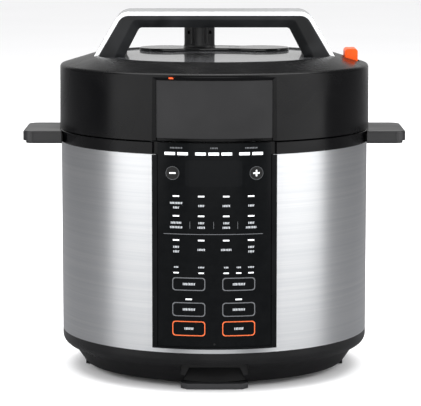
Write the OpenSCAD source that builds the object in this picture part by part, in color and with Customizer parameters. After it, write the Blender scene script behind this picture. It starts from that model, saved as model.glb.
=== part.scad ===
// Electric pressure cooker with a bridge-handled bayonet lid.
// Millimetres. +Z is up, -Y is the front. The origin is on the worktop under the pot's axis.

/* [Inner pot] */
// Inside diameter of the cooking pot
pot_d = 220; // [180:1:270]
// Height of the cooking pot, outside
pot_h = 145.3; // [110:0.1:200]
// Thickness of the pot's wall
pot_t = 0.8; // [0.6:0.1:1.5]
// Thickness of the pot's clad bottom
pot_floor_t = 2.6; // [1.5:0.1:4]
// Width of the rim that the lid's seal closes on
pot_rim_w = 3.8; // [3:0.1:4.2]

/* [Body] */
// Air gap between the cooking pot and the outer pot
pot_gap = 2.7; // [2.5:0.1:5]
// Thickness of the outer pot's sheet
shield_t = 0.8; // [0.5:0.1:1.2]
// Space between the outer pot and the stainless wrap
body_gap = 19.9; // [18:0.1:30]
// Thickness of the stainless wrap
wrap_t = 0.8; // [0.5:0.1:1.2]
// Height of the collar above the wrap
collar_h = 10.4; // [9.5:0.1:14]
// How far the collar stands out past the wrap
collar_out = 1; // [0.5:0.1:2]

/* [Base] */
// Height of the feet
foot_h = 5.1; // [4:0.1:10]
// Height of the base moulding above its feet
base_h = 28.4; // [26:0.1:40]
// Straight height of the lip under the wrap
lip_h = 5; // [3:0.1:8]
// How far the underside is set in from the lip
base_taper = 18.7; // [14:0.1:24]
// Wall of the base moulding
base_t = 2.6; // [2:0.1:4]
// Width of the front foot
front_foot_w = 57; // [40:1:80]
// How far the front foot stands forward of the underside
front_foot_out = 6.5; // [3:0.1:12]
// Rubber showing under each foot
pad_out = 0.5; // [0.3:0.1:1.5]

/* [Side handles] */
// How far each side handle stands out from the wrap
side_handle_out = 32; // [22:1:45]
// Length of each side handle along the body
side_handle_w = 80; // [50:1:110]
// Thickness of each side handle
side_handle_t = 10.8; // [8:0.1:14]
// Corner radius of each side handle
side_handle_r = 10; // [4:1:16]

/* [Control panel] */
// Width of the touch panel
panel_w = 95.2; // [84:0.1:110]
// Thickness of the touch panel
panel_t = 1.5; // [1:0.1:2.5]
// Width of the bezel's face on each side
bezel_w = 4.8; // [3:0.1:8]
// Gap between the lip and the bezel
bezel_rise = 3.8; // [2:0.1:12]
// Width of the display
display_w = 47.3; // [36:0.1:60]
// Height of the display
display_h = 22; // [16:0.1:30]
// Centre of the display below the collar's top
display_drop = 25.6; // [22:0.1:50]
// Width of the control board
board_w = 76; // [60:1:80]

/* [Lid] */
// Seam between the collar and the lid
lid_seam = 1; // [0.6:0.1:2]
// How far the lid stands out past the wrap at the seam
lid_out = 1.3; // [1:0.1:3]
// Height of the lid's upright skirt
skirt_h = 53; // [44:0.5:70]
// Rise of the shoulder above the skirt
shoulder_h = 11; // [9:0.1:16]
// Width of the shoulder ring, from the skirt in to the top disc
shoulder_w = 31.4; // [26:0.1:34]
// Wall of the lid moulding
lid_t = 2.6; // [2:0.1:3.5]
// Thickness of the top disc
disc_t = 4; // [3:0.1:5]
// Width of the badge plate
badge_w = 97; // [80:0.5:110]
// Depth of the badge recess
badge_sink = 2.4; // [1.5:0.1:3]

/* [Lid handle] */
// Depth of the handle, front to back
grip_d = 62; // [40:1:70]
// Height of the handle above the top disc
grip_h = 39.5; // [34:0.5:60]
// Slope of the legs from the horizontal
leg_slope = 59.5; // [55:0.5:70]
// Thickness of the bright strip
strip_t = 3.8; // [2:0.1:5]
// Thickness of the grip bar under the strip
bar_t = 10.2; // [8:0.1:14]
// Chamfer along the grip's inner edges
grip_chamfer = 7; // [4:0.1:9]

/* [Valves] */
// Diameter of the steam valve
valve_d = 27.6; // [24:0.1:34]
// Height of the steam valve
valve_h = 23; // [18:0.5:26]
// Place of the steam valve to the left of the middle
valve_left = 13.3; // [12:0.1:16]
// Radius of the valve plate's round ends
lobe_r = 25; // [20:0.5:28]
// Distance of each round end from the middle
lobe_x = 43; // [38:0.5:48]
// Distance from the round ends to the top disc's edge, measured front to back
lobe_inset = 15.3; // [13:0.1:20]
// Thickness of the valve plate
plate_t = 2.7; // [2:0.1:4]
// Radius of the float pin
float_r = 3.6; // [3:0.1:4.5]
// Rise of the float pin under pressure
float_rise = 4; // [2:0.1:5]
// Lift of the steam valve
valve_lift = 3.1; // [2:0.1:3.2]
// Width of the release lever
lever_w = 11.2; // [9:0.1:13]
// Length of the release lever along the lid's edge
lever_len = 26; // [16:1:32]

/* [Heater] */
// Height of the heating plate's top above the worktop
plate_top = 52; // [51:0.5:70]
// Radius of the heating plate
plate_r = 90; // [75:1:100]
// Radius of the heating tube's ring
element_r = 64; // [50:1:74]
// Radius of the heating tube
tube_r = 3.6; // [3:0.1:4.5]
// Travel of the sprung temperature sensor
sensor_travel = 3; // [1:0.5:3]

/* [Condensate cup] */
// Width of the condensate cup
cup_w = 52; // [40:1:70]
// Depth of the cup behind the wrap
cup_d = 26; // [20:1:34]
// Height of the cup
cup_h = 46; // [36:1:60]
// Wall of the cup
cup_t = 1.8; // [1.4:0.1:2.6]

/* [Fits] */
// Radial clearance of a turning pin in its bore
pin_play = 0.05; // [0.02:0.01:0.1]
// Clearance of a part that slides or lifts
slide_play = 0.3; // [0.25:0.05:0.5]
// Clearance between fixed parts
seat_play = 0.2; // [0.1:0.05:0.3]
// Clearance between the lid's lugs and the body's lugs
lug_play = 0.5; // [0.4:0.1:1]

/* [Hidden] */
$fn = 96;
over = 1;                        // how far a cut runs past the face it opens

// Radii, from the pot outwards
pot_r = pot_d / 2;
pot_out = pot_r + pot_t;
rim_r = pot_out + pot_rim_w;
shield_in = pot_out + pot_gap;
shield_out = shield_in + shield_t;
wrap_in = shield_out + body_gap;
wrap_r = wrap_in + wrap_t;
collar_r = wrap_r + collar_out;
lid_r = wrap_r + lid_out;
lug_tip = rim_r + 1.2;           // inner end of the body's lugs, which the pot's rim passes
lug_root = lug_tip + 3.9;
lock_out = lug_root + 1.2;       // outside of the locking ring's wall
bore_r = lock_out + seat_play;   // inside of the collar
spigot_in = wrap_in - 3.2;       // inside of the collar's spigot, which fills the wrap's mouth
screw_pitch = lock_out + 5.3;

// Heights, from the worktop up
base_top = foot_h + base_h;
pot_top = plate_top + pot_h;
wrap_top = pot_top + 3.7;
collar_top = wrap_top + collar_h;
lid_z = collar_top + lid_seam;
lug_z = collar_top - 2;          // top of the body's lugs
lid_lug_z = lug_z - 3.9;         // top of the lid's lugs
lid_plate_t = 1.2;
flange_z = lid_lug_z - lid_plate_t;
skirt_top = lid_z + skirt_h;
rim_top = skirt_top + shoulder_h;
disc_top = rim_top - 1.3;
deck_top = disc_top - disc_t;
deck_z = deck_top - 3;
grip_top = disc_top + grip_h;

// Base moulding
base_r = wrap_r - base_taper;
floor_top = foot_h + base_t + 0.4;
cone_r = wrap_r - 11;            // where the cone meets the curve under the lip
cone_z = foot_h + 12.4;
cover_r = 62;
leg_pitch = 92;                  // circle of the support's legs and of the base screws
recess_y = base_r + 0.7;         // flat of the front recess, forward of the axis
recess_top = base_top - 10;
foot_r = base_r - 1.5;

// Control panel
face_r = wrap_r + 1.4;           // outside of the touch panel
panel_half = panel_w / 2;
bezel_half = panel_half + bezel_w;
bezel_z = base_top + bezel_rise;
panel_z = bezel_z + 1.9;
panel_top = collar_top - 0.4;
display_z = collar_top - display_drop;
board_y = -(wrap_r - 11.5);      // front face of the control board
board_t = 1.6;
board_bot = panel_z + 6;
board_top = wrap_top - 6;

// Lid
shoulder_r = lid_r - 0.5;
disc_r = lid_r - shoulder_w - 0.6;
rim_r1 = disc_r + 0.6;           // inside of the shoulder's rim
rim_r2 = disc_r + 3.4;           // outside of the shoulder's rim
badge_half = badge_w / 2;
badge_r = lid_r - 0.3 - badge_sink;
badge_z = lid_z + 2.2;
badge_top = skirt_top - 2.5;
recess_half = badge_half + 3.8;
badge_t = 1.2;
bevel_slope = 1.35;              // rise of the slope above the badge, over its depth
lid_wall_r = pot_r - 12;         // upright wall of the inner lid
roof_z = flange_z + 18.7;        // top of the inner lid's flat roof
roof_r = roof_half();
tray_z = lid_z + 0.6;
tray_t = 2.2;
stud_x = disc_r * 0.56;
stud_front = -disc_r * 0.53;
stud_back = disc_r * 0.42;
tray_pitch = lid_r - 12.3;

// Lid handle
foot_out = disc_r + 0.6;         // outer face of the strip at the deck
leg_run = 27;                    // width of a foot, strip included
foot_in = foot_out - leg_run;
strip_side = strip_t / sin(leg_slope);
grip_half = grip_d / 2;
knee_z = disc_top + 1;
outer_knee = foot_out - (grip_top - knee_z) / tan(leg_slope);
bar_top = grip_top - strip_t;
bar_z = bar_top - bar_t;
bar_face = 3.2;                  // flat face of the bar under the strip
leg_chamfer = 8.5;
inner_slope = leg_slope + 3;
inner_knee = foot_in - (bar_z - knee_z) / tan(inner_slope);

// Valves and the release linkage
valve_y = disc_r - lobe_inset - lobe_r;
valve_x = -valve_left;
float_x = 18;
float_y = valve_y + 2;
pipe_r = 5;
sleeve_in = pipe_r + 0.4;
sleeve_r = sleeve_in + 1.3;
cap_z = disc_top + plate_t;      // top of the valve plate
lever_x = disc_r + 10.4;         // inner face of the lever
pivot_x = lever_x + 3.3;
pivot_z = skirt_top - 2.5;
arm_drop = 18.3;                 // pivot to the rod's height
rod_z = pivot_z - arm_drop;
rod_t = 5;
arm_face = pivot_x - 4;
swing = asin(valve_lift * 0.92 / arm_drop);
rod_dx = arm_face - valve_x;
rod_turn = atan2(-valve_y, rod_dx);
rod_len = sqrt(rod_dx * rod_dx + valve_y * valve_y);
collar_cone = 3.2;               // flare that the rod's wedge lifts

// Heater
plate_z = plate_top - 8;
element_z = plate_z + 3;         // centre of the heating tube
shield_z = plate_z - 1.6;
support_z = shield_z - 6.4;
support_t = 1.5;
hub_r = 13.6;
sensor_r = hub_r - 0.6;
stem_r = 7;
bracket_z = support_z - 3;
spring_wire = 1.1;
spring_pitch_r = stem_r + 2.4;

// Rear fittings
inlet_z = base_top + 18;
inlet_w = 27;
inlet_h = 20;
inlet_y = wrap_r + 3;
cup_top = wrap_top - 5;
cup_z = cup_top - cup_h;
cup_back = wrap_r + 1.2 + cup_d;
power_z = floor_top + 5;
power_c = [-(leg_pitch - 8), 0];

// ---------------------------------------------------------------- helpers

// Radius out to which the inner lid's roof is flat, past everything that passes through it
function roof_half() = lid_wall_r - 24;

// Points of an arc in a profile: centre, radius, first and last angle, steps
function arc(c, r, a0, a1, n) =
    [for (i = [0 : n]) c + r * [cos(a0 + (a1 - a0) * i / n), sin(a0 + (a1 - a0) * i / n)]];

// Tangent length of a corner's fillet, and the fillet's points
function unit(v) = v / norm(v);
function corner(p, q, s, r, n) =
    let (u = unit(p - q), v = unit(s - q), half = acos(u * v) / 2, cut = r / tan(half),
         c = q + unit(u + v) * r / sin(half),
         a = q + u * cut - c, b = q + v * cut - c,
         t0 = atan2(a.y, a.x), t1 = atan2(b.y, b.x),
         turn = t1 - t0 > 180 ? t1 - t0 - 360 : t1 - t0 < -180 ? t1 - t0 + 360 : t1 - t0)
    r <= 0 ? [q] : arc(c, r, t0, t0 + turn, n);

// Outline through [x, y, fillet] points
function rounded(p, n = 8) =
    [for (i = [0 : len(p) - 1])
        let (a = p[(i + len(p) - 1) % len(p)], b = p[i], c = p[(i + 1) % len(p)])
        each corner([a.x, a.y], [b.x, b.y], [c.x, c.y], b.z, n)];

module ring(r1, r2, z1, z2) {
    rotate_extrude() translate([r1, z1]) square([r2 - r1, z2 - z1]);
}

// A ring's sector whose chord, at its outer radius, reaches half each side of an azimuth
module sector(half, r1, r2, z1, z2, azimuth = -90) {
    a = asin(half / r2);
    rotate([0, 0, azimuth - a])
        rotate_extrude(angle = 2 * a)
            translate([r1, z1]) square([r2 - r1, z2 - z1]);
}

module around(n, r, first = 0) {
    for (i = [0 : n - 1])
        rotate([0, 0, first + i * 360 / n]) translate([r, 0, 0]) children();
}

// A block centred on x and y, from z1 to z2
module block(w, d, z1, z2) {
    translate([-w / 2, -d / 2, z1]) cube([w, d, z2 - z1]);
}

module hole(r, z1, z2) {
    translate([0, 0, z1]) cylinder(h = z2 - z1, r = r);
}

// A pan-head screw that points up, its head's top face on z
module screw(z, length, r = 1.5, head_r = 3.3, head_h = 2.2) {
    difference() {
        hole(head_r, z - head_h, z);
        translate([-2.2, -0.4, z - head_h - over]) cube([4.4, 0.8, over + 0.9]);
        translate([-0.4, -2.2, z - head_h - over]) cube([0.8, 4.4, over + 0.9]);
    }
    hole(r, z, z + length);
}

// A route with its corners cut twice, so that a lead bends round them
function cut_corners(p) = concat([p[0]],
    [for (i = [0 : len(p) - 2]) each [p[i] * 0.75 + p[i + 1] * 0.25, p[i] * 0.25 + p[i + 1] * 0.75]],
    [p[len(p) - 1]]);

// A lead swept along a route
module lead(route, r) {
    p = cut_corners(cut_corners(route));
    sides = 8;
    last = len(p) - 1;
    points = [for (i = [0 : last])
        let (t = unit(p[min(i + 1, last)] - p[max(i - 1, 0)]),
             u = unit(cross([0.5, -0.6, 0.62], t)), v = cross(u, t))
        for (k = [0 : sides - 1])
            p[i] + r * (u * cos(360 * k / sides) + v * sin(360 * k / sides))];
    faces = concat(
        [[for (k = [sides - 1 : -1 : 0]) k]],
        [[for (k = [0 : sides - 1]) last * sides + k]],
        [for (i = [0 : last - 1], k = [0 : sides - 1])
            let (a = i * sides + k, b = i * sides + (k + 1) % sides)
            each [[a, b, b + sides], [a, b + sides, a + sides]]]);
    polyhedron(points, faces);
}

module mirrored_x() {
    children();
    mirror([1, 0, 0]) children();
}

// ---------------------------------------------------------------- base

function base_outline() = concat(
    [[0, foot_h], [base_r - 1.2, foot_h], [base_r, foot_h + 1.2], [cone_r, cone_z]],
    arc([wrap_r - 8, base_top - lip_h], 8, -55, 0, 5),
    [[wrap_r, base_top]]);

module foot_block() {
    translate([foot_r - 8, 0, pad_out]) block(15, 26, 0, foot_h - pad_out + 0.5);
}

module base_housing() {
    color("#1c1c1d") {
        difference() {
            rotate_extrude() polygon(concat(base_outline(), [
                [wrap_r - base_t, base_top],
                [wrap_r - base_t, base_top - lip_h],
                [cone_r - base_t, cone_z + 1.4],
                [base_r - base_t - 0.8, floor_top],
                [0, floor_top]]));
            hole(cover_r + seat_play, foot_h - over, floor_top + over);
            around(24, (cover_r + base_r) / 2 + 3) block(20, 3, foot_h - over, floor_top + over);
            around(4, leg_pitch, 45) {
                hole(1.7, foot_h - over, floor_top + over);
                hole(3.7, foot_h - over, foot_h + 2.3);
            }
            front_recess();
            // The rear wall gives way to the inlet's frame
            translate([0, wrap_r, 0])
                block(inlet_w + 5.6, 12, base_top - 2, base_top + over);
        }
        for (a = [0, 90, 180]) rotate([0, 0, a]) difference() {
            foot_block();
            translate([foot_r - 8, 0, 0]) hole(5 + seat_play, -over, 2.6);
        }
        difference() {
            recess_wall();
            front_recess();
        }
        // Standoffs of the power board
        for (dx = [-14, 14], dy = [-34, 34])
            translate([power_c.x + dx, power_c.y + dy, 0]) hole(3, floor_top - 0.5, power_z);
        // Seat of the vented cover
        difference() {
            ring(cover_r - 9, cover_r + 5, floor_top, floor_top + 1.6);
            around(3, cover_r - 5, 30) hole(1.6, floor_top - over, floor_top + 3);
        }
    }
}

// Thick wall behind the recess over the front foot
module recess_wall() {
    intersection() {
        rotate_extrude() polygon(concat(base_outline(), [[wrap_r, base_top], [0, base_top]]));
        translate([0, -(recess_y - 8), 0])
            block(front_foot_w + 8, 26, floor_top - 0.5, recess_top + 3);
        difference() {
            hole(wrap_r, 0, base_top);
            hole(recess_y - 14, -over, base_top + over);
        }
    }
}

module front_recess() {
    // Flat over the foot
    translate([-front_foot_w / 2, -(wrap_r + over), floor_top])
        cube([front_foot_w, wrap_r + over - recess_y, recess_top - floor_top]);
    // Sloped pocket that widens down to the foot
    half = front_foot_w / 2;
    z0 = foot_h - over;
    z1 = recess_top - 5.4;
    y0 = -(recess_y - 1.5);
    y1 = -(recess_y - 9);
    polyhedron(
        points = [
            [-half, -wrap_r, z0], [half, -wrap_r, z0], [half, y0, z0], [-half, y0, z0],
            [7 - half, -wrap_r, z1], [half - 7, -wrap_r, z1], [half - 7, y1, z1],
            [7 - half, y1, z1]],
        faces = [[0, 1, 2, 3], [7, 6, 5, 4], [0, 4, 5, 1], [1, 5, 6, 2], [2, 6, 7, 3],
            [3, 7, 4, 0]]);
}

module base_cover() {
    color("#232324") difference() {
        hole(cover_r, foot_h, floor_top);
        for (r = [16, 27, 38, 49])
            around(r < 20 ? 6 : 12, r) block(5.5, 5.5, foot_h - over, floor_top + over);
        around(3, cover_r - 5, 30) hole(1.7, foot_h - over, floor_top + over);
    }
}

module base_screws() {
    color("silver") {
        around(4, leg_pitch, 45) screw(foot_h + 2.3, 12);
        around(3, cover_r - 5, 30) screw(foot_h, 4.4, 1.5, 3, 1.4);
    }
}

module front_foot_outline() {
    half = front_foot_w / 2;
    y = -(base_r + front_foot_out);
    polygon([[-half, y + 6], [-half + 5.5, y + 0.6], [0, y], [half - 5.5, y + 0.6],
        [half, y + 6], [half, y + 26], [-half, y + 26]]);
}

module front_foot() {
    color("#3a3a3b") difference() {
        translate([0, 0, pad_out]) linear_extrude(foot_h - pad_out) front_foot_outline();
        for (x = [-16, 16]) translate([x, -(foot_r - 6), 0]) hole(5 + seat_play, -over, 2.6);
    }
}

module foot_pads() {
    color("#101010") {
        for (a = [0, 90, 180]) rotate([0, 0, a]) translate([foot_r - 8, 0, 0]) hole(5, 0, 2.6);
        for (x = [-16, 16]) translate([x, -(foot_r - 6), 0]) hole(5, 0, 2.6);
    }
}

// ---------------------------------------------------------------- body

module steel_wrap() {
    slot = bezel_half - 3;
    color("#b8bcc0") difference() {
        ring(wrap_in, wrap_r, base_top, wrap_top);
        sector(slot, wrap_in - over, wrap_r + over, base_top + bezel_rise + 1, wrap_top + over);
        translate([0, wrap_r, 0])
            block(inlet_w + 6, 30, inlet_z - inlet_h / 2 - 3, inlet_z + inlet_h / 2 + 3);
    }
}

module upper_collar() {
    color("#1b1b1c") difference() {
        union() {
            rotate_extrude() polygon([
                [bore_r, wrap_top], [bore_r + 2.4, wrap_top], [bore_r + 2.4, collar_top - 2.5],
                [spigot_in, collar_top - 2.5], [spigot_in, wrap_top - 8],
                [wrap_in - seat_play, wrap_top - 8], [wrap_in - seat_play, wrap_top],
                [collar_r - 0.4, wrap_top], [collar_r, wrap_top + 0.4],
                [collar_r, collar_top - 0.5], [collar_r - 0.5, collar_top],
                [bore_r, collar_top]]);
            around(6, screw_pitch, 15) hole(4, wrap_top - 1, collar_top - 2);
        }
        around(6, screw_pitch, 15) hole(1.6, wrap_top - 2, collar_top - 3);
        sector(bezel_half, wrap_in - 0.4, collar_r + over, wrap_top - 9, collar_top + over);
        // The spigot gives way to the display and its carrier
        sector(bezel_half, spigot_in - over, collar_r, wrap_top - 9, wrap_top - 0.5);
        for (s = [0, 180]) rotate([0, 0, s]) tongue(seat_play);
        for (x = [-1, 1], y = [-18, 18])
            translate([x * (wrap_r - 5.5), y, 0]) {
                hole(1.6, wrap_top, collar_top - 1);
                hole(2.7, wrap_top - 9, collar_top - 8.4);
            }
    }
}

// The part of a side handle that plugs into the collar
module tongue(play) {
    translate([spigot_in - 2, -30 - play, collar_top - 8.4 - play])
        cube([collar_r - spigot_in + 2 + play, 60 + 2 * play, 5.4 + 2 * play]);
}

module side_handle() {
    reach = wrap_r + side_handle_out;
    half = side_handle_w / 2;
    z = collar_top - side_handle_t;
    lip = 2.4;
    difference() {
        union() {
            for (s = [[0, lip, lip], [lip, side_handle_t - 0.8, 0],
                    [side_handle_t - 0.8, side_handle_t, 0.8]])
                translate([0, 0, z + s[0]])
                    linear_extrude(s[1] - s[0])
                        polygon(rounded([
                            [collar_r - 3, -half + s[2], 0],
                            [reach - s[2], -half + s[2], side_handle_r - s[2]],
                            [reach - s[2], half - s[2], side_handle_r - s[2]],
                            [collar_r - 3, half - s[2], 0]]));
        }
        hole(collar_r + seat_play, z - over, collar_top + over);
        // Finger hollow under the handle
        translate([collar_r + 5, -half + 6, z - over])
            cube([side_handle_out - 12, side_handle_w - 12, over + 4]);
    }
    difference() {
        tongue(0);
        for (y = [-18, 18])
            translate([wrap_r - 5.5, y, 0]) hole(1.7, wrap_top, collar_top);
    }
}

module side_handle_left() {
    color("#202021") mirror([1, 0, 0]) side_handle();
}

module side_handle_right() {
    color("#202021") side_handle();
}

module side_handle_screws() {
    color("silver") for (x = [-1, 1], y = [-18, 18])
        translate([x * (wrap_r - 5.5), y, 0]) screw(collar_top - 8.4, 6.4, 1.5, 2.4, 1.6);
}

// ---------------------------------------------------------------- control panel

module panel_bezel() {
    color("#2a2b2c") {
        difference() {
            sector(bezel_half, wrap_r + 0.15, face_r + 0.6, bezel_z, wrap_top - seat_play);
            sector((panel_half + seat_play) * (face_r + 2 * over) / face_r, wrap_r - over,
                face_r + 2 * over, bezel_z + 1.7, wrap_top + over);
        }
        difference() {
            sector(bezel_half - 3.4, wrap_in - 2.6, wrap_r + 0.2, bezel_z + 1.4,
                wrap_top - 9);
            sector(panel_half - 1.2, wrap_in - 4, wrap_r + over, bezel_z + 3,
                wrap_top + over);
            sector(panel_half + seat_play, face_r - panel_t, face_r, panel_z - seat_play,
                wrap_top + over);
        }
    }
}

module touch_panel() {
    color("#161718")
        sector(panel_half, face_r - panel_t, face_r, panel_z, panel_top);
}

module panel_carrier() {
    color("#303132") difference() {
        sector(panel_half - 2, wrap_in - 3, face_r - panel_t, panel_z + 2, panel_top - 12);
        sector(panel_half - 8, wrap_in - 4, face_r, panel_z + 8, display_z - display_h / 2 - 4);
        sector(display_w / 2 + 1, wrap_in - 4, face_r, display_z - display_h / 2 - 1,
            display_z + display_h / 2 + 1);
    }
}

module control_board() {
    color("#2e6b3e") difference() {
        translate([-board_w / 2, board_y, board_bot])
            cube([board_w, board_t, board_top - board_bot]);
        for (x = [-1, 1], z = [board_bot + 5, board_top - 5])
            translate([x * (board_w / 2 - 5), board_y + board_t + over, z])
                rotate([90, 0, 0]) cylinder(h = board_t + 2 * over, r = 1.6);
    }
}

module indicator_leds() {
    color("#e8eef2") for (x = [-36 : 12 : 36], row = [1 : 7])
        if (abs(x) < board_w / 2 - 1 && (row > 1 || abs(x) > 30))
            translate([x, board_y, display_z + 11 - row * 18])
                translate([-1.6, -1.2, -0.8]) cube([3.2, 1.2, 1.6]);
}

module display_module() {
    color("#101112") difference() {
        translate([-display_w / 2, -(wrap_r - 2.7), display_z - display_h / 2])
            cube([display_w, wrap_r - 2.7 + board_y, display_h]);
        // Four digit windows
        for (x = [-16.5, -5.5, 5.5, 16.5])
            translate([x - 4, -(wrap_r - 2.7) - over, display_z - 7])
                cube([8, over + 0.6, 14]);
    }
}

// ---------------------------------------------------------------- outer pot and heater

module outer_pot() {
    top = pot_top - 1.8;
    color("#9a9c9e") difference() {
        union() {
            rotate_extrude() polygon([
                [27, shield_z], [shield_in - 8, shield_z], [shield_out, shield_z + 8.6],
                [shield_out, top - shield_t], [lug_root - 0.3, top - shield_t],
                [lug_root - 0.3, top + 3.5], [lug_root - 1.1, top + 3.5], [lug_root - 1.1, top],
                [shield_in, top], [shield_in, shield_z + 9], [shield_in - 8.4, shield_z + shield_t],
                [27, shield_z + shield_t]]);
        }
        for (s = [-1, 1]) rotate([0, 0, -90 + s * 12])
            translate([element_r, 0, 0]) hole(tube_r + 1, shield_z - over, shield_z + 2);
        around(3, plate_r - 8, 90) hole(2.2, shield_z - over, shield_z + 2);
    }
}

module locking_ring() {
    color("#c3c6c8") difference() {
        union() {
            ring(lug_root, lock_out, pot_top - 2.3, lug_z);
            ring(lug_root, screw_pitch + 4.3, wrap_top - 2.2, wrap_top - 1);
            around(8, 0) rotate([0, 0, -9]) rotate_extrude(angle = 18)
                translate([lug_tip, lug_z - 1.5]) square([lock_out - lug_tip, 1.5]);
        }
        around(6, screw_pitch, 15) hole(1.7, wrap_top - 4, wrap_top);
    }
}

module collar_screws() {
    color("silver") around(6, screw_pitch, 15) screw(wrap_top - 2.2, 8);
}

module pot_support() {
    color("#a7aaac") difference() {
        union() {
            ring(38, leg_pitch + 7, support_z, support_z + support_t);
            around(4, leg_pitch, 45) hole(4.5, floor_top, support_z);
            around(4, leg_pitch, 45) hole(2.6, support_z, shield_z);
        }
        around(4, leg_pitch, 45) hole(1.6, floor_top - over, floor_top + 14);
        for (s = [-1, 1]) rotate([0, 0, -90 + s * 12])
            translate([element_r, 0, 0]) hole(8, support_z - over, support_z + 3);
        translate([46, 30, 0]) hole(2, support_z - over, support_z + 3);
    }
}

module element_path(r) {
    rotate([0, 0, -90 + 11]) rotate_extrude(angle = 338)
        translate([element_r, element_z]) circle(r = r);
}

module heating_plate() {
    color("#8d8f91") difference() {
        union() {
            rotate_extrude() polygon([
                [hub_r, plate_z], [plate_r - 1, plate_z], [plate_r, plate_z + 1],
                [plate_r, plate_top - 1.5], [plate_r - 1.5, plate_top], [hub_r + 8, plate_top],
                [hub_r + 6, plate_top - 0.8], [hub_r, plate_top - 0.8]]);
            around(3, plate_r - 8, 90) hole(4, shield_z + shield_t, plate_z + 1);
        }
        element_path(tube_r + 0.05);
        for (s = [-1, 1]) rotate([0, 0, -90 + s * 12])
            translate([element_r, 0, 0]) hole(tube_r + 0.5, plate_z - over, element_z + tube_r);
    }
}

module heating_element() {
    color("#6f6a66") {
        element_path(tube_r);
        for (s = [-1, 1]) rotate([0, 0, -90 + s * 12]) translate([element_r, 0, 0]) {
            hole(tube_r - 0.9, support_z - 4, element_z - 1);
            hole(1.2, support_z - 9, support_z - 4);
        }
    }
}

module sensor_bracket() {
    color("#b0b2b4") difference() {
        union() {
            hole(21, bracket_z, bracket_z + 1.2);
            mirrored_x() translate([17.5, -5, bracket_z]) cube([1.2, 10, plate_z - bracket_z]);
        }
        hole(stem_r + slide_play, bracket_z - over, bracket_z + 3);
    }
}

module temperature_sensor() {
    color("#c9ccce") {
        hole(sensor_r, plate_top - 3.2, plate_top - 0.2);
        hole(stem_r, bracket_z - 4, plate_top - 3.2);
    }
}

// Coil spring between the bracket and the sensor's cap
module sensor_spring() {
    turns = 4.5;
    steps = 18;
    sides = 8;
    z0 = bracket_z + 1.2 + spring_wire;
    rise = plate_top - 3.2 - spring_wire - z0;
    rings = turns * steps;
    points = [for (i = [0 : rings], k = [0 : sides - 1])
        let (a = 360 * i / steps, r = spring_pitch_r + spring_wire * cos(360 * k / sides))
        [r * cos(a), r * sin(a), z0 + rise * i / rings + spring_wire * sin(360 * k / sides)]];
    faces = concat(
        [[for (k = [0 : sides - 1]) k]],
        [[for (k = [sides - 1 : -1 : 0]) rings * sides + k]],
        [for (i = [0 : rings - 1], k = [0 : sides - 1])
            [i * sides + k, (i + 1) * sides + k, (i + 1) * sides + (k + 1) % sides,
             i * sides + (k + 1) % sides]]);
    color("#d5d7d8") polyhedron(points, faces);
}

module pressure_switch() {
    color("#2b2b2d") translate([46, 30, 0]) {
        block(20, 10, support_z - 8.5, support_z - 0.1);
        hole(1.5, support_z - 0.5, shield_z - 0.2);
    }
}

module thermal_fuse() {
    color("#d8c9a8") translate([-46, -30, shield_z - 2.1]) {
        rotate([0, 90, 0]) translate([0, 0, -7]) cylinder(h = 14, r = 2);
        rotate([0, 90, 0]) translate([0, 0, -13]) cylinder(h = 26, r = 0.6);
    }
}

// ---------------------------------------------------------------- electrics

module power_board() {
    color("#b88a4a") translate([power_c.x, power_c.y, 0]) difference() {
        block(40, 78, power_z, power_z + board_t);
        for (dx = [-14, 14], dy = [-34, 34]) translate([dx, dy, 0])
            hole(1.6, power_z - over, power_z + 3);
    }
}

module power_parts() {
    z = power_z + board_t;
    color("#20406c") translate([power_c.x, power_c.y, 0]) {
        translate([-9, 18, 0]) block(16, 15, z, z + 15);
        translate([9, 22, 0]) block(14, 12, z, z + 12);
        translate([7, -6, 0]) block(20, 18, z, z + 14);
        translate([-12, -4, 0]) hole(5.5, z, z + 15);
        translate([-12, -20, 0]) hole(4, z, z + 12);
        translate([8, -27, 0]) block(14, 6, z, z + 8);
        translate([12, 33, 0]) block(10, 5, z, z + 8);
    }
}

module power_inlet() {
    back = inlet_y - 19;
    color("#161617") translate([0, 0, inlet_z]) {
        difference() {
            union() {
                translate([-inlet_w / 2, back, -inlet_h / 2]) cube([inlet_w, 19, inlet_h]);
                translate([-inlet_w / 2 - 1.6, inlet_y - 2, -inlet_h / 2 - 1.6])
                    cube([inlet_w + 3.2, 2.4, inlet_h + 3.2]);
            }
            translate([0, inlet_y + over, 0]) rotate([90, 0, 0])
                linear_extrude(17 + over) polygon([
                    [-12, -8], [12, -8], [12, 4.5], [8.5, 8], [-8.5, 8], [-12, 4.5]]);
        }
        // Shrouded contact pins and rear tabs
        for (i = [0 : 2]) translate([7 * (i - 1) - 1, back - 3.5, tab_z(i) - 2])
            cube([2, 17.5, 4]);
    }
}

module inlet_frame() {
    w = inlet_w + 12;
    h = inlet_h + 10;
    color("#1d1d1e") difference() {
        translate([0, 0, inlet_z]) rotate([-90, 0, 0]) linear_extrude(inlet_y)
            polygon(rounded([[-w / 2, -h / 2, 4], [w / 2, -h / 2, 4], [w / 2, h / 2, 4],
                [-w / 2, h / 2, 4]], 5));
        translate([0, 0, inlet_z - inlet_h]) cylinder(h = 2 * inlet_h, r = wrap_r + 0.05, $fn = 360);
        translate([0, 0, inlet_z]) {
            translate([-inlet_w / 2 - seat_play, 0, -inlet_h / 2 - seat_play])
                cube([inlet_w + 2 * seat_play, inlet_y + over, inlet_h + 2 * seat_play]);
            translate([-inlet_w / 2 - 1.8, inlet_y - 2.2, -inlet_h / 2 - 1.8])
                cube([inlet_w + 3.6, 4, inlet_h + 3.6]);
        }
    }
}

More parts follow.
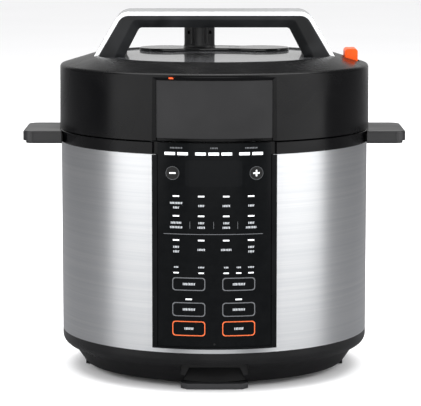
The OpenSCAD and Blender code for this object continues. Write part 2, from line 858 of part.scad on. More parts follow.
module wiring() {
    back = inlet_y - 19;
    z = power_z + board_t + 5;
    // Mains leads from the inlet's tabs to the power board, one under the other at the turn
    color("#7a4a2a") for (i = [0 : 2]) {
        x = 7 * (i - 1);
        turn_z = min(inlet_z - 9, shield_z + 4) - 4 * i;
        end_x = power_c.x + 12 + 3.4 * (1 - i);
        lead([[x, back - 1.7, inlet_z + tab_z(i) - 2], [x, back - 1.7, turn_z + 2],
            [x - 5, back - 3, turn_z - 2], [-40, shield_out - 13, turn_z - 6],
            [end_x - 4, power_c.y + 72, z + 11 - 3 * i], [end_x, power_c.y + 48, z],
            [end_x, power_c.y + 35.5, z]], 1.2);
    }
    // Heater leads from the board to the tube's terminals
    color("#b04030") for (s = [-1, 1])
        lead([[power_c.x + 8 + 4 * s, power_c.y - 30, z - 1],
            [power_c.x + 8 + 4 * s, power_c.y - 40, z - 1],
            [power_c.x + 16 + 4 * s, power_c.y - 56, z - 2],
            [element_r * sin(12) * s - 10, -element_r * cos(12) - 6, support_z - 19 - 2 * s],
            [element_r * sin(12) * s, -element_r * cos(12), support_z - 15],
            [element_r * sin(12) * s, -element_r * cos(12), support_z - 9]], 1.2);
}

// Height of each inlet tab's middle over the inlet's axis
function tab_z(i) = [-2, 2, -2][i];

// Flat cable from the back of the control board, over the recess wall, to the power board
module ribbon_cable() {
    w = 12;
    t = 0.8;
    z = (recess_top + 3 + support_z - t) / 2;
    plug_z = power_z + board_t + 8;
    plug = [power_c.x + 8, power_c.y - 27];
    y = board_y + board_t;
    color("#c8ccd0") {
        translate([-36, y, z]) cube([w, t, board_bot + 14 - z]);
        translate([-36, y, z]) cube([w, plug.y + w / 2 - y, t]);
        translate([plug.x, plug.y - w / 2, z]) cube([-36 + w - plug.x, w, t]);
        translate([plug.x, plug.y - w / 2, plug_z]) cube([t, w, z + t - plug_z]);
    }
}

// ---------------------------------------------------------------- condensate cup

module cup_outline(grow) {
    polygon(rounded([
        [-cup_w / 2 - grow, 0, 0], [cup_w / 2 + grow, 0, 0],
        [cup_w / 2 + grow, cup_back + grow, 9], [-cup_w / 2 - grow, cup_back + grow, 9]], 6));
}

module condensate_cup() {
    front = wrap_r + 2.6;
    color("#dfe6ea", 0.6) {
        difference() {
            translate([0, 0, cup_z]) linear_extrude(cup_h) cup_outline(0);
            hole(front, cup_z - over, cup_top + over);
            difference() {
                translate([0, 0, cup_z + cup_t]) linear_extrude(cup_h) cup_outline(-cup_t);
                hole(front + cup_t, 0, lid_z);
            }
        }
        // Rails that run in the holder
        mirrored_x() difference() {
            translate([cup_w / 2 - 0.1, front - 6, cup_top - 6]) cube([3, cup_d - 8, 2]);
            hole(front, 0, lid_z);
        }
    }
}

module cup_holder() {
    arm_in = cup_w / 2 + slide_play;
    front = wrap_r + 2.6;
    color("#1d1d1e") difference() {
        union() {
            intersection() {
                ring(wrap_r + 0.05, wrap_r + 1.9, cup_z + 8, cup_top + 2);
                translate([-arm_in - 5, 0, cup_z]) cube([2 * arm_in + 10, cup_back, cup_h + 4]);
            }
            mirrored_x() translate([arm_in, wrap_r - 14, cup_top - 11])
                cube([5, cup_d - 1, 13]);
        }
        hole(wrap_r + 0.05, 0, lid_z);
        mirrored_x() translate([arm_in - over, wrap_r - 16, cup_top - 6 - slide_play])
            cube([3 + over, cup_d + 10, 2 + 2 * slide_play]);
    }
}

// ---------------------------------------------------------------- cooking pot

module inner_pot() {
    color("#c9cccf") rotate_extrude() polygon(concat(
        [[0, plate_top]],
        arc([pot_out - 12, plate_top + 12], 12, -90, 0, 6),
        [[pot_out, pot_top - 1.5], [rim_r, pot_top - 1.5], [rim_r, pot_top],
         [pot_r, pot_top]],
        arc([pot_r - 11, plate_top + pot_floor_t + 11], 11, 0, -90, 6),
        [[0, plate_top + pot_floor_t]]));
}

module sealing_ring() {
    top = flange_z - slide_play;
    bottom = pot_top + slide_play;
    inner = lid_wall_r + 3.6;
    color("#e4e0d6") rotate_extrude() polygon([
        [inner, bottom + 1.2], [inner + 2.4, bottom], [inner + 2.4, pot_top - 4],
        [pot_r - 1.1, pot_top - 4], [pot_r - 1.1, bottom], [rim_r - 1.4, bottom],
        [rim_r - 1.4, bottom + 2], [rim_r - 4, bottom + 3.2], [rim_r - 4, top], [inner, top],
        [inner, top - 1.4], [inner + 1.6, top - 1.4], [inner + 1.6, bottom + 1.8],
        [inner, bottom + 1.8]]);
}

// ---------------------------------------------------------------- lid

module lid_profile() {
    inner = lid_r - lid_t;
    polygon(concat(
        [[0, deck_top], [rim_r1, deck_top], [rim_r1, rim_top - 0.9], [rim_r1 + 0.9, rim_top],
         [rim_r2, rim_top]],
        arc([shoulder_r - 3, skirt_top + 0.2], 3, 74, 0, 4),
        [[lid_r, lid_z], [inner, lid_z],
         [inner - 0.5, skirt_top - 0.6], [inner - 1.8, skirt_top + 0.6],
         [rim_r1 + lid_t, rim_top - 3.3], [rim_r1 + lid_t, deck_z], [0, deck_z]]));
}

// Recess whose sides and top slope in to the badge, open at the lid's lower edge
module badge_recess() {
    seat = badge_half + seat_play;
    inner = [seat, -sqrt(badge_r * badge_r - seat * seat)];
    outer = [recess_half, -sqrt(lid_r * lid_r - recess_half * recess_half)];
    u = unit(outer - inner);
    p = inner * (1 - 3 / badge_r);
    q = outer + 6 * u;
    z = lid_z - over;
    intersection() {
        translate([0, 0, z]) linear_extrude(skirt_top - z)
            polygon([[-q.x, q.y], [0, -(lid_r + 10)], q, inner, p, [0, 8 - badge_r],
                [-p.x, p.y], [-inner.x, inner.y]]);
        rotate_extrude() polygon([[badge_r - badge_t, z], [lid_r + 2, z],
            [lid_r + 2, badge_top + seat_play + (lid_r + 2 - badge_r) * bevel_slope],
            [badge_r, badge_top + seat_play], [badge_r - badge_t, badge_top + seat_play]]);
    }
}

module lid_shell() {
    color("#19191a") difference() {
        union() {
            rotate_extrude() lid_profile();
            // Thick wall behind the badge
            sector(recess_half + 3, badge_r - 3.2, lid_r - 1, lid_z, skirt_top);
            // Floors of the handle's sockets
            intersection() {
                mirrored_x() translate([rim_r1 - 6, -grip_half - 3, deck_z])
                    cube([10, grip_d + 6, deck_top - deck_z]);
                hole(lid_r, deck_z, rim_top);
            }
            // Wells down to the inner lid's studs
            for (p = stud_places()) translate(p) hole(8, roof_z + 1, deck_z + 0.5);
            // Posts that the tray screws into
            around(6, tray_pitch, 15) hole(4, tray_z + 4.5, rim_top - 6.8);
            // Ears of the lever's pin
            for (s = [-1, 1])
                translate([pivot_x - 5, s * (lever_len / 2 + 2.5) - 1.5, pivot_z - 5])
                    cube([10, 3, rim_top - pivot_z - 0.3]);
            // Guides of the push rod
            for (s = [30, 100]) rod_frame() translate([s, 0, 0])
                block(5, rod_t + 7, rod_z - 6, deck_z + 0.5);
        }
        badge_recess();
        lock_mark_solid(seat_play);
        mirrored_x() translate([foot_in - seat_play, -grip_half - seat_play, deck_top])
            cube([leg_run + 2 * seat_play, grip_d + 2 * seat_play, 20]);
        for (p = stud_places()) translate(p) {
            hole(6, roof_z + 3.5, deck_top + over);
            hole(2.8, roof_z - over, roof_z + 4);
        }
        around(6, tray_pitch, 15) hole(1.6, tray_z + 3, tray_z + 16);
        for (x = [-1, 1], y = [-1, 1]) translate([x * handle_screw_x(), y * grip_d * 0.29, 0])
            hole(1.8, deck_z - over, deck_top + over);
        translate([valve_x, valve_y, 0]) hole(sleeve_r + 0.5, deck_z - over, deck_top + over);
        translate([float_x, float_y, 0]) hole(float_r + 0.8, deck_z - over, deck_top + over);
        // Slot of the release lever
        translate([lever_x - 0.8, -lever_len / 2 - 0.6, pivot_z - over])
            cube([lever_w + 2.5, lever_len + 1.2, 30]);
        translate([pivot_x, -lid_r, pivot_z]) rotate([-90, 0, 0])
            translate([0, 0, lid_r - 40]) cylinder(h = 80, r = 1.5 + 0.02);
        for (s = [30, 100]) rod_frame() translate([s, 0, 0])
            block(5 + 2 * over, rod_t + 2 * slide_play, rod_z - rod_t / 2 - slide_play,
                rod_z + rod_t / 2 + slide_play);
    }
}

function stud_places() = [[-stud_x, stud_front, 0], [stud_x, stud_front, 0],
    [-stud_x - 4, stud_back, 0], [stud_x + 4, stud_back, 0]];
function handle_screw_x() = (foot_in + foot_out - strip_side) / 2 + 0.5;

// X runs from the steam valve's axis to the lever's arm
module rod_frame() {
    translate([valve_x, valve_y, 0]) rotate([0, 0, rod_turn]) children();
}

module lid_tray() {
    inner = lid_wall_r + 2.5;
    outer = lid_r - lid_t - 0.3;
    color("#222223") difference() {
        union() {
            ring(inner, outer, tray_z, tray_z + tray_t);
            ring(inner, inner + 2.2, tray_z, tray_z + 6);
            ring(outer - 2, outer, tray_z, tray_z + 9);
            around(6, tray_pitch, 15) hole(6, tray_z, tray_z + 4.5);
        }
        around(6, tray_pitch, 15) {
            hole(3.6, tray_z - over, tray_z + 2.2);
            hole(1.7, tray_z, tray_z + 6);
        }
        sector(recess_half + 4, badge_r - 3.4, lid_r, tray_z - over, tray_z + 12);
    }
}

module tray_screws() {
    color("silver") around(6, tray_pitch, 15) screw(tray_z + 2.2, 11);
}

module plate_holes(play) {
    translate([valve_x, valve_y, 0]) hole(sleeve_r + play, deck_z, cap_z + over);
    translate([float_x, float_y, 0]) hole(float_r + play, deck_z, cap_z + over);
}

module lid_top_disc() {
    color("#2b2b2d") difference() {
        rotate_extrude() polygon([[0, deck_top], [disc_r, deck_top], [disc_r, disc_top - 0.6],
            [disc_r - 0.6, disc_top], [0, disc_top]]);
        mirrored_x() translate([foot_in - seat_play, -grip_half - seat_play, deck_top - over])
            cube([leg_run + 9, grip_d + 2 * seat_play, 20]);
        plate_holes(0.6);
    }
}

module valve_plate() {
    color("#303032") difference() {
        translate([0, valve_y, disc_top]) {
            mirrored_x() translate([lobe_x, 0, 0]) cylinder(h = plate_t, r = lobe_r);
            difference() {
                translate([-lobe_x, -lobe_r, 0]) cube([2 * lobe_x, 2 * lobe_r, plate_t]);
                // Waist between the two round ends
                for (s = [-1, 1]) translate([0, s * (waist_r() + 16), -over])
                    cylinder(h = plate_t + 2 * over, r = waist_r());
            }
        }
        plate_holes(0.6);
    }
}

function waist_r() = ((lobe_x * lobe_x + 16 * 16) - lobe_r * lobe_r) / (2 * (lobe_r - 16));

module badge_plate() {
    color("#3e3e3f") sector(badge_half, badge_r - badge_t, badge_r, badge_z, badge_top);
}

// Position mark set in the slope above the badge
module lock_mark_solid(grow) {
    turn = 1.61 + grow;
    u = unit([1, bevel_slope]);
    n = [u.y, -u.x];
    c = [badge_r + 1.4, badge_top + seat_play + 1.4 * bevel_slope];
    half = 0.9 + grow;
    rotate([0, 0, -105.5 - turn / 2]) rotate_extrude(angle = turn)
        polygon([c - half * u - 0.8 * n, c + half * u - 0.8 * n, c + half * u + (0.15 + grow) * n,
            c - half * u + (0.15 + grow) * n]);
}

module lock_mark() {
    color("#ff5a10") lock_mark_solid(0);
}

// Arch outline from its foot's x, its slope's start, its top corner and their fillets
module arch(x, z, knee, top, r, foot = deck_top) {
    polygon(rounded([[-x, foot, 0], [-x, z, 0], [-knee, top, r], [knee, top, r], [x, z, 0],
        [x, foot, 0]], 10));
}

module across(depth) {
    translate([0, depth / 2, 0]) rotate([90, 0, 0]) linear_extrude(depth) children();
}

// Half of the arch's opening, widened towards the front face. It lies above the feet.
module flare() {
    steps = [[grip_half - grip_chamfer, 0], [grip_half + over, (grip_chamfer + over) / grip_chamfer]];
    points = [for (s = steps)
        let (z = bar_z + s[1] * (bar_t - bar_face), x = foot_in + s[1] * leg_chamfer,
             k = x - (z - knee_z) / tan(inner_slope))
        each [[-x, -s[0], knee_z], [x, -s[0], knee_z], [k, -s[0], z], [-k, -s[0], z]]];
    polyhedron(points, [[0, 1, 2, 3], [7, 6, 5, 4], [0, 4, 5, 1], [1, 5, 6, 2], [2, 6, 7, 3],
        [3, 7, 4, 0]]);
}

module lid_handle() {
    outer = foot_out - strip_side;
    outer_top = outer - (bar_top - knee_z) / tan(leg_slope);
    color("#262627") difference() {
        across(grip_d) arch(outer, knee_z, outer_top, bar_top, 10);
        across(grip_d + 2 * over) arch(foot_in, knee_z, inner_knee, bar_z, 4, deck_top - over);
        flare();
        mirror([0, 1, 0]) flare();
        for (x = [-1, 1], y = [-1, 1])
            translate([x * handle_screw_x(), y * grip_d * 0.29, 0])
                hole(1.6, deck_top - over, deck_top + 15);
    }
}

module handle_trim() {
    outer = foot_out - strip_side;
    outer_top = outer - (bar_top - knee_z) / tan(leg_slope);
    color("#e8e9ea") across(grip_d) difference() {
        arch(foot_out, knee_z, outer_knee, grip_top, 13.8);
        arch(outer, knee_z, outer_top, bar_top, 10, deck_top - over);
    }
}

module handle_screws() {
    color("silver") for (x = [-1, 1], y = [-1, 1])
        translate([x * handle_screw_x(), y * grip_d * 0.29, 0]) screw(deck_z, 16);
}

module inner_lid() {
    t = lid_plate_t;
    w = lid_wall_r;
    color("#cfd2d4") difference() {
        union() {
            rotate_extrude() polygon([
                [rim_r - 2.6, lid_lug_z], [w + t, lid_lug_z], [w + t, roof_z - 10],
                [w - 1, roof_z - 7], [roof_r, roof_z], [0, roof_z], [0, roof_z - t],
                [roof_r - 0.2, roof_z - t], [w - 1.8, roof_z - 8.1], [w, roof_z - 10.4],
                [w, flange_z], [rim_r - 2.6, flange_z]]);
            around(8, 0) rotate([0, 0, -8]) rotate_extrude(angle = 16)
                translate([rim_r - 4, flange_z]) square([lug_tip - lug_play - rim_r + 4, t]);
            for (p = stud_places()) translate(p) hole(2.5, roof_z - 1.2, roof_z + 11);
        }
        translate([valve_x, valve_y, 0]) hole(pipe_r + 0.1, roof_z - 3, roof_z + over);
        translate([float_x, float_y, 0]) hole(float_r + slide_play, roof_z - 3, roof_z + over);
    }
}

module hex_nut(r, bore, z1, z2) {
    difference() {
        translate([0, 0, z1]) cylinder(h = z2 - z1, r = r, $fn = 6);
        hole(bore, z1 - over, z2 + over);
    }
}

module lid_nuts() {
    color("#b9bcbe") {
        for (p = stud_places()) translate(p) hex_nut(5, 2.6, roof_z + 3.5, roof_z + 7.5);
        translate([valve_x, valve_y, 0]) hex_nut(9, pipe_r + 0.1, roof_z, roof_z + 5);
    }
}

module seal_rack() {
    r = lid_wall_r + 2.9;
    z = flange_z - 3.3;
    color("#d2d4d6") {
        rotate_extrude() translate([r, z]) circle(r = 1.2, $fn = 32);
        around(6, r - 0.6) hole(0.9, z, flange_z);
    }
}

module anti_block_cap() {
    top = roof_z - lid_plate_t - 3;
    color("#c4c7c9") translate([valve_x, valve_y, 0]) difference() {
        rotate_extrude() polygon([[5.2, top - 4], [6.4, top - 4], [6.4, top - 1],
            [16, top - 1], [16, top - 11], [0, top - 11], [0, top - 12.2], [17.2, top - 12.2],
            [17.2, top], [5.2, top]]);
        around(12, 16.6) block(4, 3, top - 10, top - 4);
    }
}

module steam_pipe() {
    low = roof_z - lid_plate_t;
    color("#bfc2c4") translate([valve_x, valve_y, 0]) difference() {
        union() {
            hole(pipe_r, low - 8, cap_z + 6);
            hole(8.5, low - 3, low);
        }
        hole(2.2, low - 9, cap_z + 7);
    }
}

// ---------------------------------------------------------------- release linkage and valves

module lever_pin() {
    color("#b5b8ba") translate([pivot_x, 0, pivot_z]) rotate([90, 0, 0])
        translate([0, 0, -(lever_len / 2 + 4)]) cylinder(h = lever_len + 8, r = 1.5);
}

module release_lever() {
    top = rim_top + 4.8;
    color("#ff6a20") difference() {
        union() {
            translate([0, lever_len / 2, 0]) rotate([90, 0, 0]) linear_extrude(lever_len)
                polygon(rounded([[lever_x, pivot_z + 5.5, 0], [lever_x + lever_w, pivot_z + 5.5, 0],
                    [lever_x + lever_w, top, 2.6], [lever_x, top, 2.6]], 6));
            translate([pivot_x - 3.2, -lever_len / 2 + 1, pivot_z - 3.2])
                cube([6.4, lever_len - 2, 9]);
            translate([arm_face, -4, rod_z - 3]) cube([4, 8, arm_drop]);
        }
        translate([pivot_x, 0, pivot_z]) rotate([90, 0, 0])
            translate([0, 0, -lever_len]) cylinder(h = 2 * lever_len, r = 1.5 + pin_play);
    }
}

// Bar whose wedge slides under the lifter's flare when the lever is pressed
module push_rod() {
    nose = sleeve_r + 1.6;
    gap = 0.5;
    low = rod_z - rod_t / 2;
    high = rod_z + rod_t / 2;
    color("#3a3a3c") difference() {
        rod_frame() translate([0, rod_t / 2, 0]) rotate([90, 0, 0]) linear_extrude(rod_t)
            polygon([[nose, low], [rod_len + 2, low], [rod_len + 2, high],
                [nose + rod_t - 1, high], [nose, low + 1]]);
        translate([arm_face - gap, -30, low - over]) cube([60, 60, rod_t + 2 * over]);
    }
}

module valve_lifter() {
    flare = lifter_z() + collar_cone;
    color("#55585a") translate([valve_x, valve_y, 0]) rotate_extrude() polygon([
        [sleeve_in, lifter_z()], [sleeve_r, lifter_z()], [sleeve_r + collar_cone, flare],
        [sleeve_r + collar_cone, flare + 2], [sleeve_r, flare + 2],
        [sleeve_r, cap_z + 0.4], [sleeve_in, cap_z + 0.4]]);
}

// Lower end of the lifter, set so that its flare lies just over the rod's wedge
function lifter_z() = rod_z - rod_t / 2 + 1 - 1.6 + 0.6;

module steam_valve() {
    r = valve_d / 2;
    z = cap_z + 0.5;
    top = z + valve_h;
    color("#1a1a1b") translate([valve_x, valve_y, 0]) difference() {
        rotate_extrude() polygon(concat(
            [[sleeve_in - 0.2, z], [r + 0.8, z], [r, z + 2]],
            arc([r - 3, top - 3], 3, 0, 90, 4),
            [[0, top], [0, cap_z + 7], [sleeve_in - 0.2, cap_z + 7]]));
        // Steam ports and finger flutes
        around(4, r, 45) block(8, 3, z + 12, z + 15);
        around(2, r + 1.4, -90 + 28) hole(2.6, z + 3, top + over);
        around(2, r + 1.4, -90 - 28) hole(2.6, z + 3, top + over);
    }
}

module float_valve() {
    color("#c2c5c7") translate([float_x, float_y, 0]) {
        hole(float_r, roof_z - lid_plate_t - float_rise - 3.6, cap_z);
        hole(float_r + 2.4, roof_z + 0.1, roof_z + 2.6);
    }
}

module float_cap() {
    top = roof_z - lid_plate_t - float_rise - 1;
    color("#d9cfc0") translate([float_x, float_y, 0]) difference() {
        hole(float_r + 3.4, top - 4.4, top);
        hole(float_r + 0.02, top - 2.6, top + over);
    }
}

base_housing();
base_cover();
base_screws();
front_foot();
foot_pads();
steel_wrap();
upper_collar();
side_handle_left();
side_handle_right();
side_handle_screws();
panel_bezel();
touch_panel();
panel_carrier();
control_board();
indicator_leds();
display_module();
outer_pot();
locking_ring();
collar_screws();
pot_support();
heating_plate();
heating_element();
sensor_bracket();
temperature_sensor();
sensor_spring();
pressure_switch();
thermal_fuse();
power_board();
power_parts();
power_inlet();
inlet_frame();
wiring();
ribbon_cable();
cup_holder();
condensate_cup();
inner_pot();
sealing_ring();
lid_shell();
lid_tray();
tray_screws();
lid_top_disc();
badge_plate();
lock_mark();
lid_handle();
handle_trim();
handle_screws();
inner_lid();
lid_nuts();
seal_rack();
anti_block_cap();
steam_pipe();
valve_plate();
lever_pin();
release_lever();
push_rod();
steam_valve();
valve_lifter();
float_valve();
float_cap();
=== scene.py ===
import math

import bpy
import bmesh
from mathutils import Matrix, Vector


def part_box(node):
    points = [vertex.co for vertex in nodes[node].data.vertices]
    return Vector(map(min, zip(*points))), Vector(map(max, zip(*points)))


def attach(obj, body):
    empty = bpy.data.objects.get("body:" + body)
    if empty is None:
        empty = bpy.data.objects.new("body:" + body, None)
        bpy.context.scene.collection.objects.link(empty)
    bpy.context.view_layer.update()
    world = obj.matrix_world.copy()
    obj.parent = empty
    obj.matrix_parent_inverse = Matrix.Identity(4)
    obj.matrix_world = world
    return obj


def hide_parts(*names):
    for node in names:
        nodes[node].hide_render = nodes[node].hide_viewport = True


# Electric pressure cooker: finishes, printed panel, lid handle and studio. Metres, Z up, front at -Y.

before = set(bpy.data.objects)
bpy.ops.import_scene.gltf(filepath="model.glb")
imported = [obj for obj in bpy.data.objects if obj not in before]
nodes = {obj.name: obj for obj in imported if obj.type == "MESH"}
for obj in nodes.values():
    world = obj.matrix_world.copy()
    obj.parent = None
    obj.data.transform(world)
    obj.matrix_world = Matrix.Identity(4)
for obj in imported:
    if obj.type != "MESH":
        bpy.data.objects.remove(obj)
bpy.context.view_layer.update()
print("frame loaded with", len(nodes), "nodes")


def mm(value):
    return value / 1000


def srgb(hexColour, alpha=1.0):
    # sRGB hex to the linear values that shaders work in
    channels = [int(hexColour[i:i + 2], 16) / 255 for i in (1, 3, 5)]
    linear = [c / 12.92 if c <= 0.04045 else ((c + 0.055) / 1.055) ** 2.4 for c in channels]
    return (*linear, alpha)


def add(tree, kind, sockets=None, **settings):
    # One node with its settings. A socket given as a value is linked, anything else is set.
    node = tree.nodes.new(kind)
    for name, value in settings.items():
        setattr(node, name, value)
    for name, value in (sockets or {}).items():
        if isinstance(value, bpy.types.NodeSocket):
            tree.links.new(value, node.inputs[name])
        else:
            node.inputs[name].default_value = value
    return node


def startMaterial(name, colour, roughness, metallic=0.0, ior=1.5):
    material = bpy.data.materials.new(name)
    material.use_nodes = True
    tree = material.node_tree
    shader = tree.nodes["Principled BSDF"]
    shader.inputs["Base Color"].default_value = srgb(colour)
    shader.inputs["Roughness"].default_value = roughness
    shader.inputs["Metallic"].default_value = metallic
    shader.inputs["IOR"].default_value = ior
    material.diffuse_color = srgb(colour)
    place = add(tree, "ShaderNodeTexCoord").outputs["Object"]
    return material, tree, shader, place


# ------ finishes

def mouldedPlastic(name, colour, tint, roughness, grainMm, grainDepthMm,
                   spread=0.06, mirror=0.5):
    # Injection moulded: spark-eroded grain breaks the gloss, and melt flow leaves faint cloudy bands
    material, tree, shader, place = startMaterial(name, colour, roughness)
    shader.inputs["Specular IOR Level"].default_value = mirror
    grain = add(tree, "ShaderNodeTexNoise",
                {"Vector": place, "Scale": 1000 / grainMm, "Detail": 3.0, "Roughness": 0.55})
    flow = add(tree, "ShaderNodeTexNoise",
               {"Vector": place, "Scale": 1000 / 38, "Detail": 2.0, "Distortion": 0.6})
    cloud = add(tree, "ShaderNodeMapRange",
                {"Value": flow.outputs[0], "From Min": 0.35, "From Max": 0.65})
    mix = add(tree, "ShaderNodeMix",
              {0: cloud.outputs["Result"], 6: srgb(colour), 7: srgb(tint)}, data_type="RGBA")
    tree.links.new(mix.outputs[2], shader.inputs["Base Color"])
    gloss = add(tree, "ShaderNodeMapRange",
                {"Value": flow.outputs[0], "From Min": 0.3, "From Max": 0.7,
                 "To Min": roughness - spread, "To Max": roughness + spread})
    tree.links.new(gloss.outputs["Result"], shader.inputs["Roughness"])
    bump = add(tree, "ShaderNodeBump",
               {"Height": grain.outputs[0], "Strength": 0.6, "Distance": mm(grainDepthMm)})
    tree.links.new(bump.outputs["Normal"], shader.inputs["Normal"])
    return material


def edgeHighlightNylon(name, colour, tintAndEdgeHighlight, roughness, mirror):
    # Glass-filled nylon: coarse matt grain, with a painted highlight: pointiness lightens the colour along
    # the sharp edges
    material = mouldedPlastic(name, colour, tintAndEdgeHighlight, roughness, 0.9, 0.03, mirror=mirror)
    tree = material.node_tree
    shader = tree.nodes["Principled BSDF"]
    edge = add(tree, "ShaderNodeNewGeometry")
    # Painted highlight: the base colour turns lighter where the edges are sharp
    edgeHighlight = add(tree, "ShaderNodeMapRange",
              {"Value": edge.outputs["Pointiness"], "From Min": 0.52, "From Max": 0.6})
    old = shader.inputs["Base Color"].links[0].from_socket
    mix = add(tree, "ShaderNodeMix",
              {0: edgeHighlight.outputs["Result"], 6: old, 7: srgb(tintAndEdgeHighlight)}, data_type="RGBA")
    tree.links.new(mix.outputs[2], shader.inputs["Base Color"])
    return material


def brushedMetal(name, colour, shade, roughness, strandMm, streakMm,
                 axis="Z", turned=0.25, depthMm=0.012):
    # Belt-brushed sheet: hair-thin scratches run one way, so highlights stretch across them.
    # Real strands are about 0.1 mm, and are drawn coarser here so that they show.
    material, tree, shader, place = startMaterial(name, colour, roughness, metallic=1.0)
    fine = 1000 / strandMm
    long = 1000 / streakMm
    scales = {"Z": (long, long, fine), "Y": (long, fine, long)}
    strands = add(tree, "ShaderNodeMapping", {"Vector": place, "Scale": scales[axis]})
    hair = add(tree, "ShaderNodeTexNoise",
               {"Vector": strands.outputs[0], "Scale": 1.0, "Detail": 4.0, "Roughness": 0.7})
    band = add(tree, "ShaderNodeTexNoise",
               {"Vector": strands.outputs[0], "Scale": 0.22, "Detail": 2.0})
    blend = add(tree, "ShaderNodeMath", {0: hair.outputs[0], 1: band.outputs[0]},
                operation="MULTIPLY")
    tone = add(tree, "ShaderNodeMapRange",
               {"Value": blend.outputs[0], "From Min": 0.12, "From Max": 0.4})
    mix = add(tree, "ShaderNodeMix",
              {0: tone.outputs["Result"], 6: srgb(shade), 7: srgb(colour)}, data_type="RGBA")
    tree.links.new(mix.outputs[2], shader.inputs["Base Color"])
    gloss = add(tree, "ShaderNodeMapRange",
                {"Value": hair.outputs[0], "From Min": 0.3, "From Max": 0.7,
                 "To Min": roughness - 0.05, "To Max": roughness + 0.07})
    tree.links.new(gloss.outputs["Result"], shader.inputs["Roughness"])
    bump = add(tree, "ShaderNodeBump",
               {"Height": hair.outputs[0], "Strength": 0.35, "Distance": mm(depthMm)})
    tree.links.new(bump.outputs["Normal"], shader.inputs["Normal"])
    shader.inputs["Anisotropic"].default_value = 0.6
    shader.inputs["Anisotropic Rotation"].default_value = turned
    tangent = add(tree, "ShaderNodeTangent", direction_type="RADIAL", axis="Z")
    tree.links.new(tangent.outputs[0], shader.inputs["Tangent"])
    return material


def turnedMetal(name, colour, shade, roughness, grooveMm):
    # Spun or turned on a lathe: fine rings round the middle catch the light as a fan
    material, tree, shader, place = startMaterial(name, colour, roughness, metallic=1.0)
    parts = add(tree, "ShaderNodeSeparateXYZ", {"Vector": place})
    flat = add(tree, "ShaderNodeCombineXYZ", {"X": parts.outputs["X"], "Y": parts.outputs["Y"]})
    radius = add(tree, "ShaderNodeVectorMath", {0: flat.outputs[0]}, operation="LENGTH")
    spot = add(tree, "ShaderNodeCombineXYZ", {"X": radius.outputs["Value"], "Y": parts.outputs["Z"]})
    rings = add(tree, "ShaderNodeTexNoise",
                {"Vector": spot.outputs[0], "Scale": 1000 / grooveMm, "Detail": 3.0})
    stain = add(tree, "ShaderNodeTexNoise", {"Vector": place, "Scale": 1000 / 30, "Detail": 4.0})
    mix = add(tree, "ShaderNodeMix",
              {0: stain.outputs[0], 6: srgb(shade), 7: srgb(colour)}, data_type="RGBA")
    tree.links.new(mix.outputs[2], shader.inputs["Base Color"])
    bump = add(tree, "ShaderNodeBump",
               {"Height": rings.outputs[0], "Strength": 0.4, "Distance": mm(0.02)})
    tree.links.new(bump.outputs["Normal"], shader.inputs["Normal"])
    return material


def pressedMetal(name, colour, shade, roughness, grainMm):
    # Pressed, plated or cast: soft mottling from the rolling and handling of the sheet
    material, tree, shader, place = startMaterial(name, colour, roughness, metallic=1.0)
    mottle = add(tree, "ShaderNodeTexNoise",
                 {"Vector": place, "Scale": 1000 / grainMm, "Detail": 5.0, "Roughness": 0.6})
    mix = add(tree, "ShaderNodeMix",
              {0: mottle.outputs[0], 6: srgb(shade), 7: srgb(colour)}, data_type="RGBA")
    tree.links.new(mix.outputs[2], shader.inputs["Base Color"])
    gloss = add(tree, "ShaderNodeMapRange",
                {"Value": mottle.outputs[0], "From Min": 0.3, "From Max": 0.7,
                 "To Min": roughness - 0.06, "To Max": roughness + 0.08})
    tree.links.new(gloss.outputs["Result"], shader.inputs["Roughness"])
    bump = add(tree, "ShaderNodeBump",
               {"Height": mottle.outputs[0], "Strength": 0.25, "Distance": mm(0.02)})
    tree.links.new(bump.outputs["Normal"], shader.inputs["Normal"])
    return material


def lacqueredDisc(name, colour, flake, roughness):
    # Silver-grey metallic lacquer under clear coat: flakes sparkle under a wet gloss
    material, tree, shader, place = startMaterial(name, colour, roughness, metallic=0.55)
    # Real flakes are 0.05 mm, drawn at 0.5 mm so that they show
    flakes = add(tree, "ShaderNodeTexVoronoi", {"Vector": place, "Scale": 1000 / 0.5})
    pick = add(tree, "ShaderNodeSeparateColor", {"Color": flakes.outputs["Color"]})
    mix = add(tree, "ShaderNodeMix",
              {0: pick.outputs[0], 6: srgb(colour), 7: srgb(flake)}, data_type="RGBA")
    tree.links.new(mix.outputs[2], shader.inputs["Base Color"])
    shader.inputs["Coat Weight"].default_value = 1.0
    shader.inputs["Coat Roughness"].default_value = 0.04
    return material


def printedInk(name, colour, paintedGlow=0.0):
    # Screen-printed ink: a flat matt film, a little uneven where the squeegee left it thinner
    material, tree, shader, place = startMaterial(name, colour, 0.5)
    film = add(tree, "ShaderNodeTexNoise", {"Vector": place, "Scale": 1000 / 1.5, "Detail": 2.0})
    level = add(tree, "ShaderNodeMapRange",
                {"Value": film.outputs[0], "To Min": 0.88, "To Max": 1.0})
    shadeMix = add(tree, "ShaderNodeMix",
                   {0: level.outputs["Result"], 6: (0.0, 0.0, 0.0, 1.0), 7: srgb(colour)},
                   data_type="RGBA")
    tree.links.new(shadeMix.outputs[2], shader.inputs["Base Color"])
    # Painted glow: the ink emits light although it is no lamp
    if paintedGlow:
        shader.inputs["Emission Color"].default_value = srgb(colour)
        shader.inputs["Emission Strength"].default_value = paintedGlow
    return material


def softSilicone(name, colour, tint):
    # Compression-moulded silicone: milky, satin, with light passing into thin lips
    material, tree, shader, place = startMaterial(name, colour, 0.42, ior=1.41)
    haze = add(tree, "ShaderNodeTexNoise", {"Vector": place, "Scale": 1000 / 14, "Detail": 3.0})
    mix = add(tree, "ShaderNodeMix",
              {0: haze.outputs[0], 6: srgb(colour), 7: srgb(tint)}, data_type="RGBA")
    tree.links.new(mix.outputs[2], shader.inputs["Base Color"])
    shader.inputs["Subsurface Weight"].default_value = 0.3
    shader.inputs["Subsurface Radius"].default_value = (0.004, 0.004, 0.003)
    return material


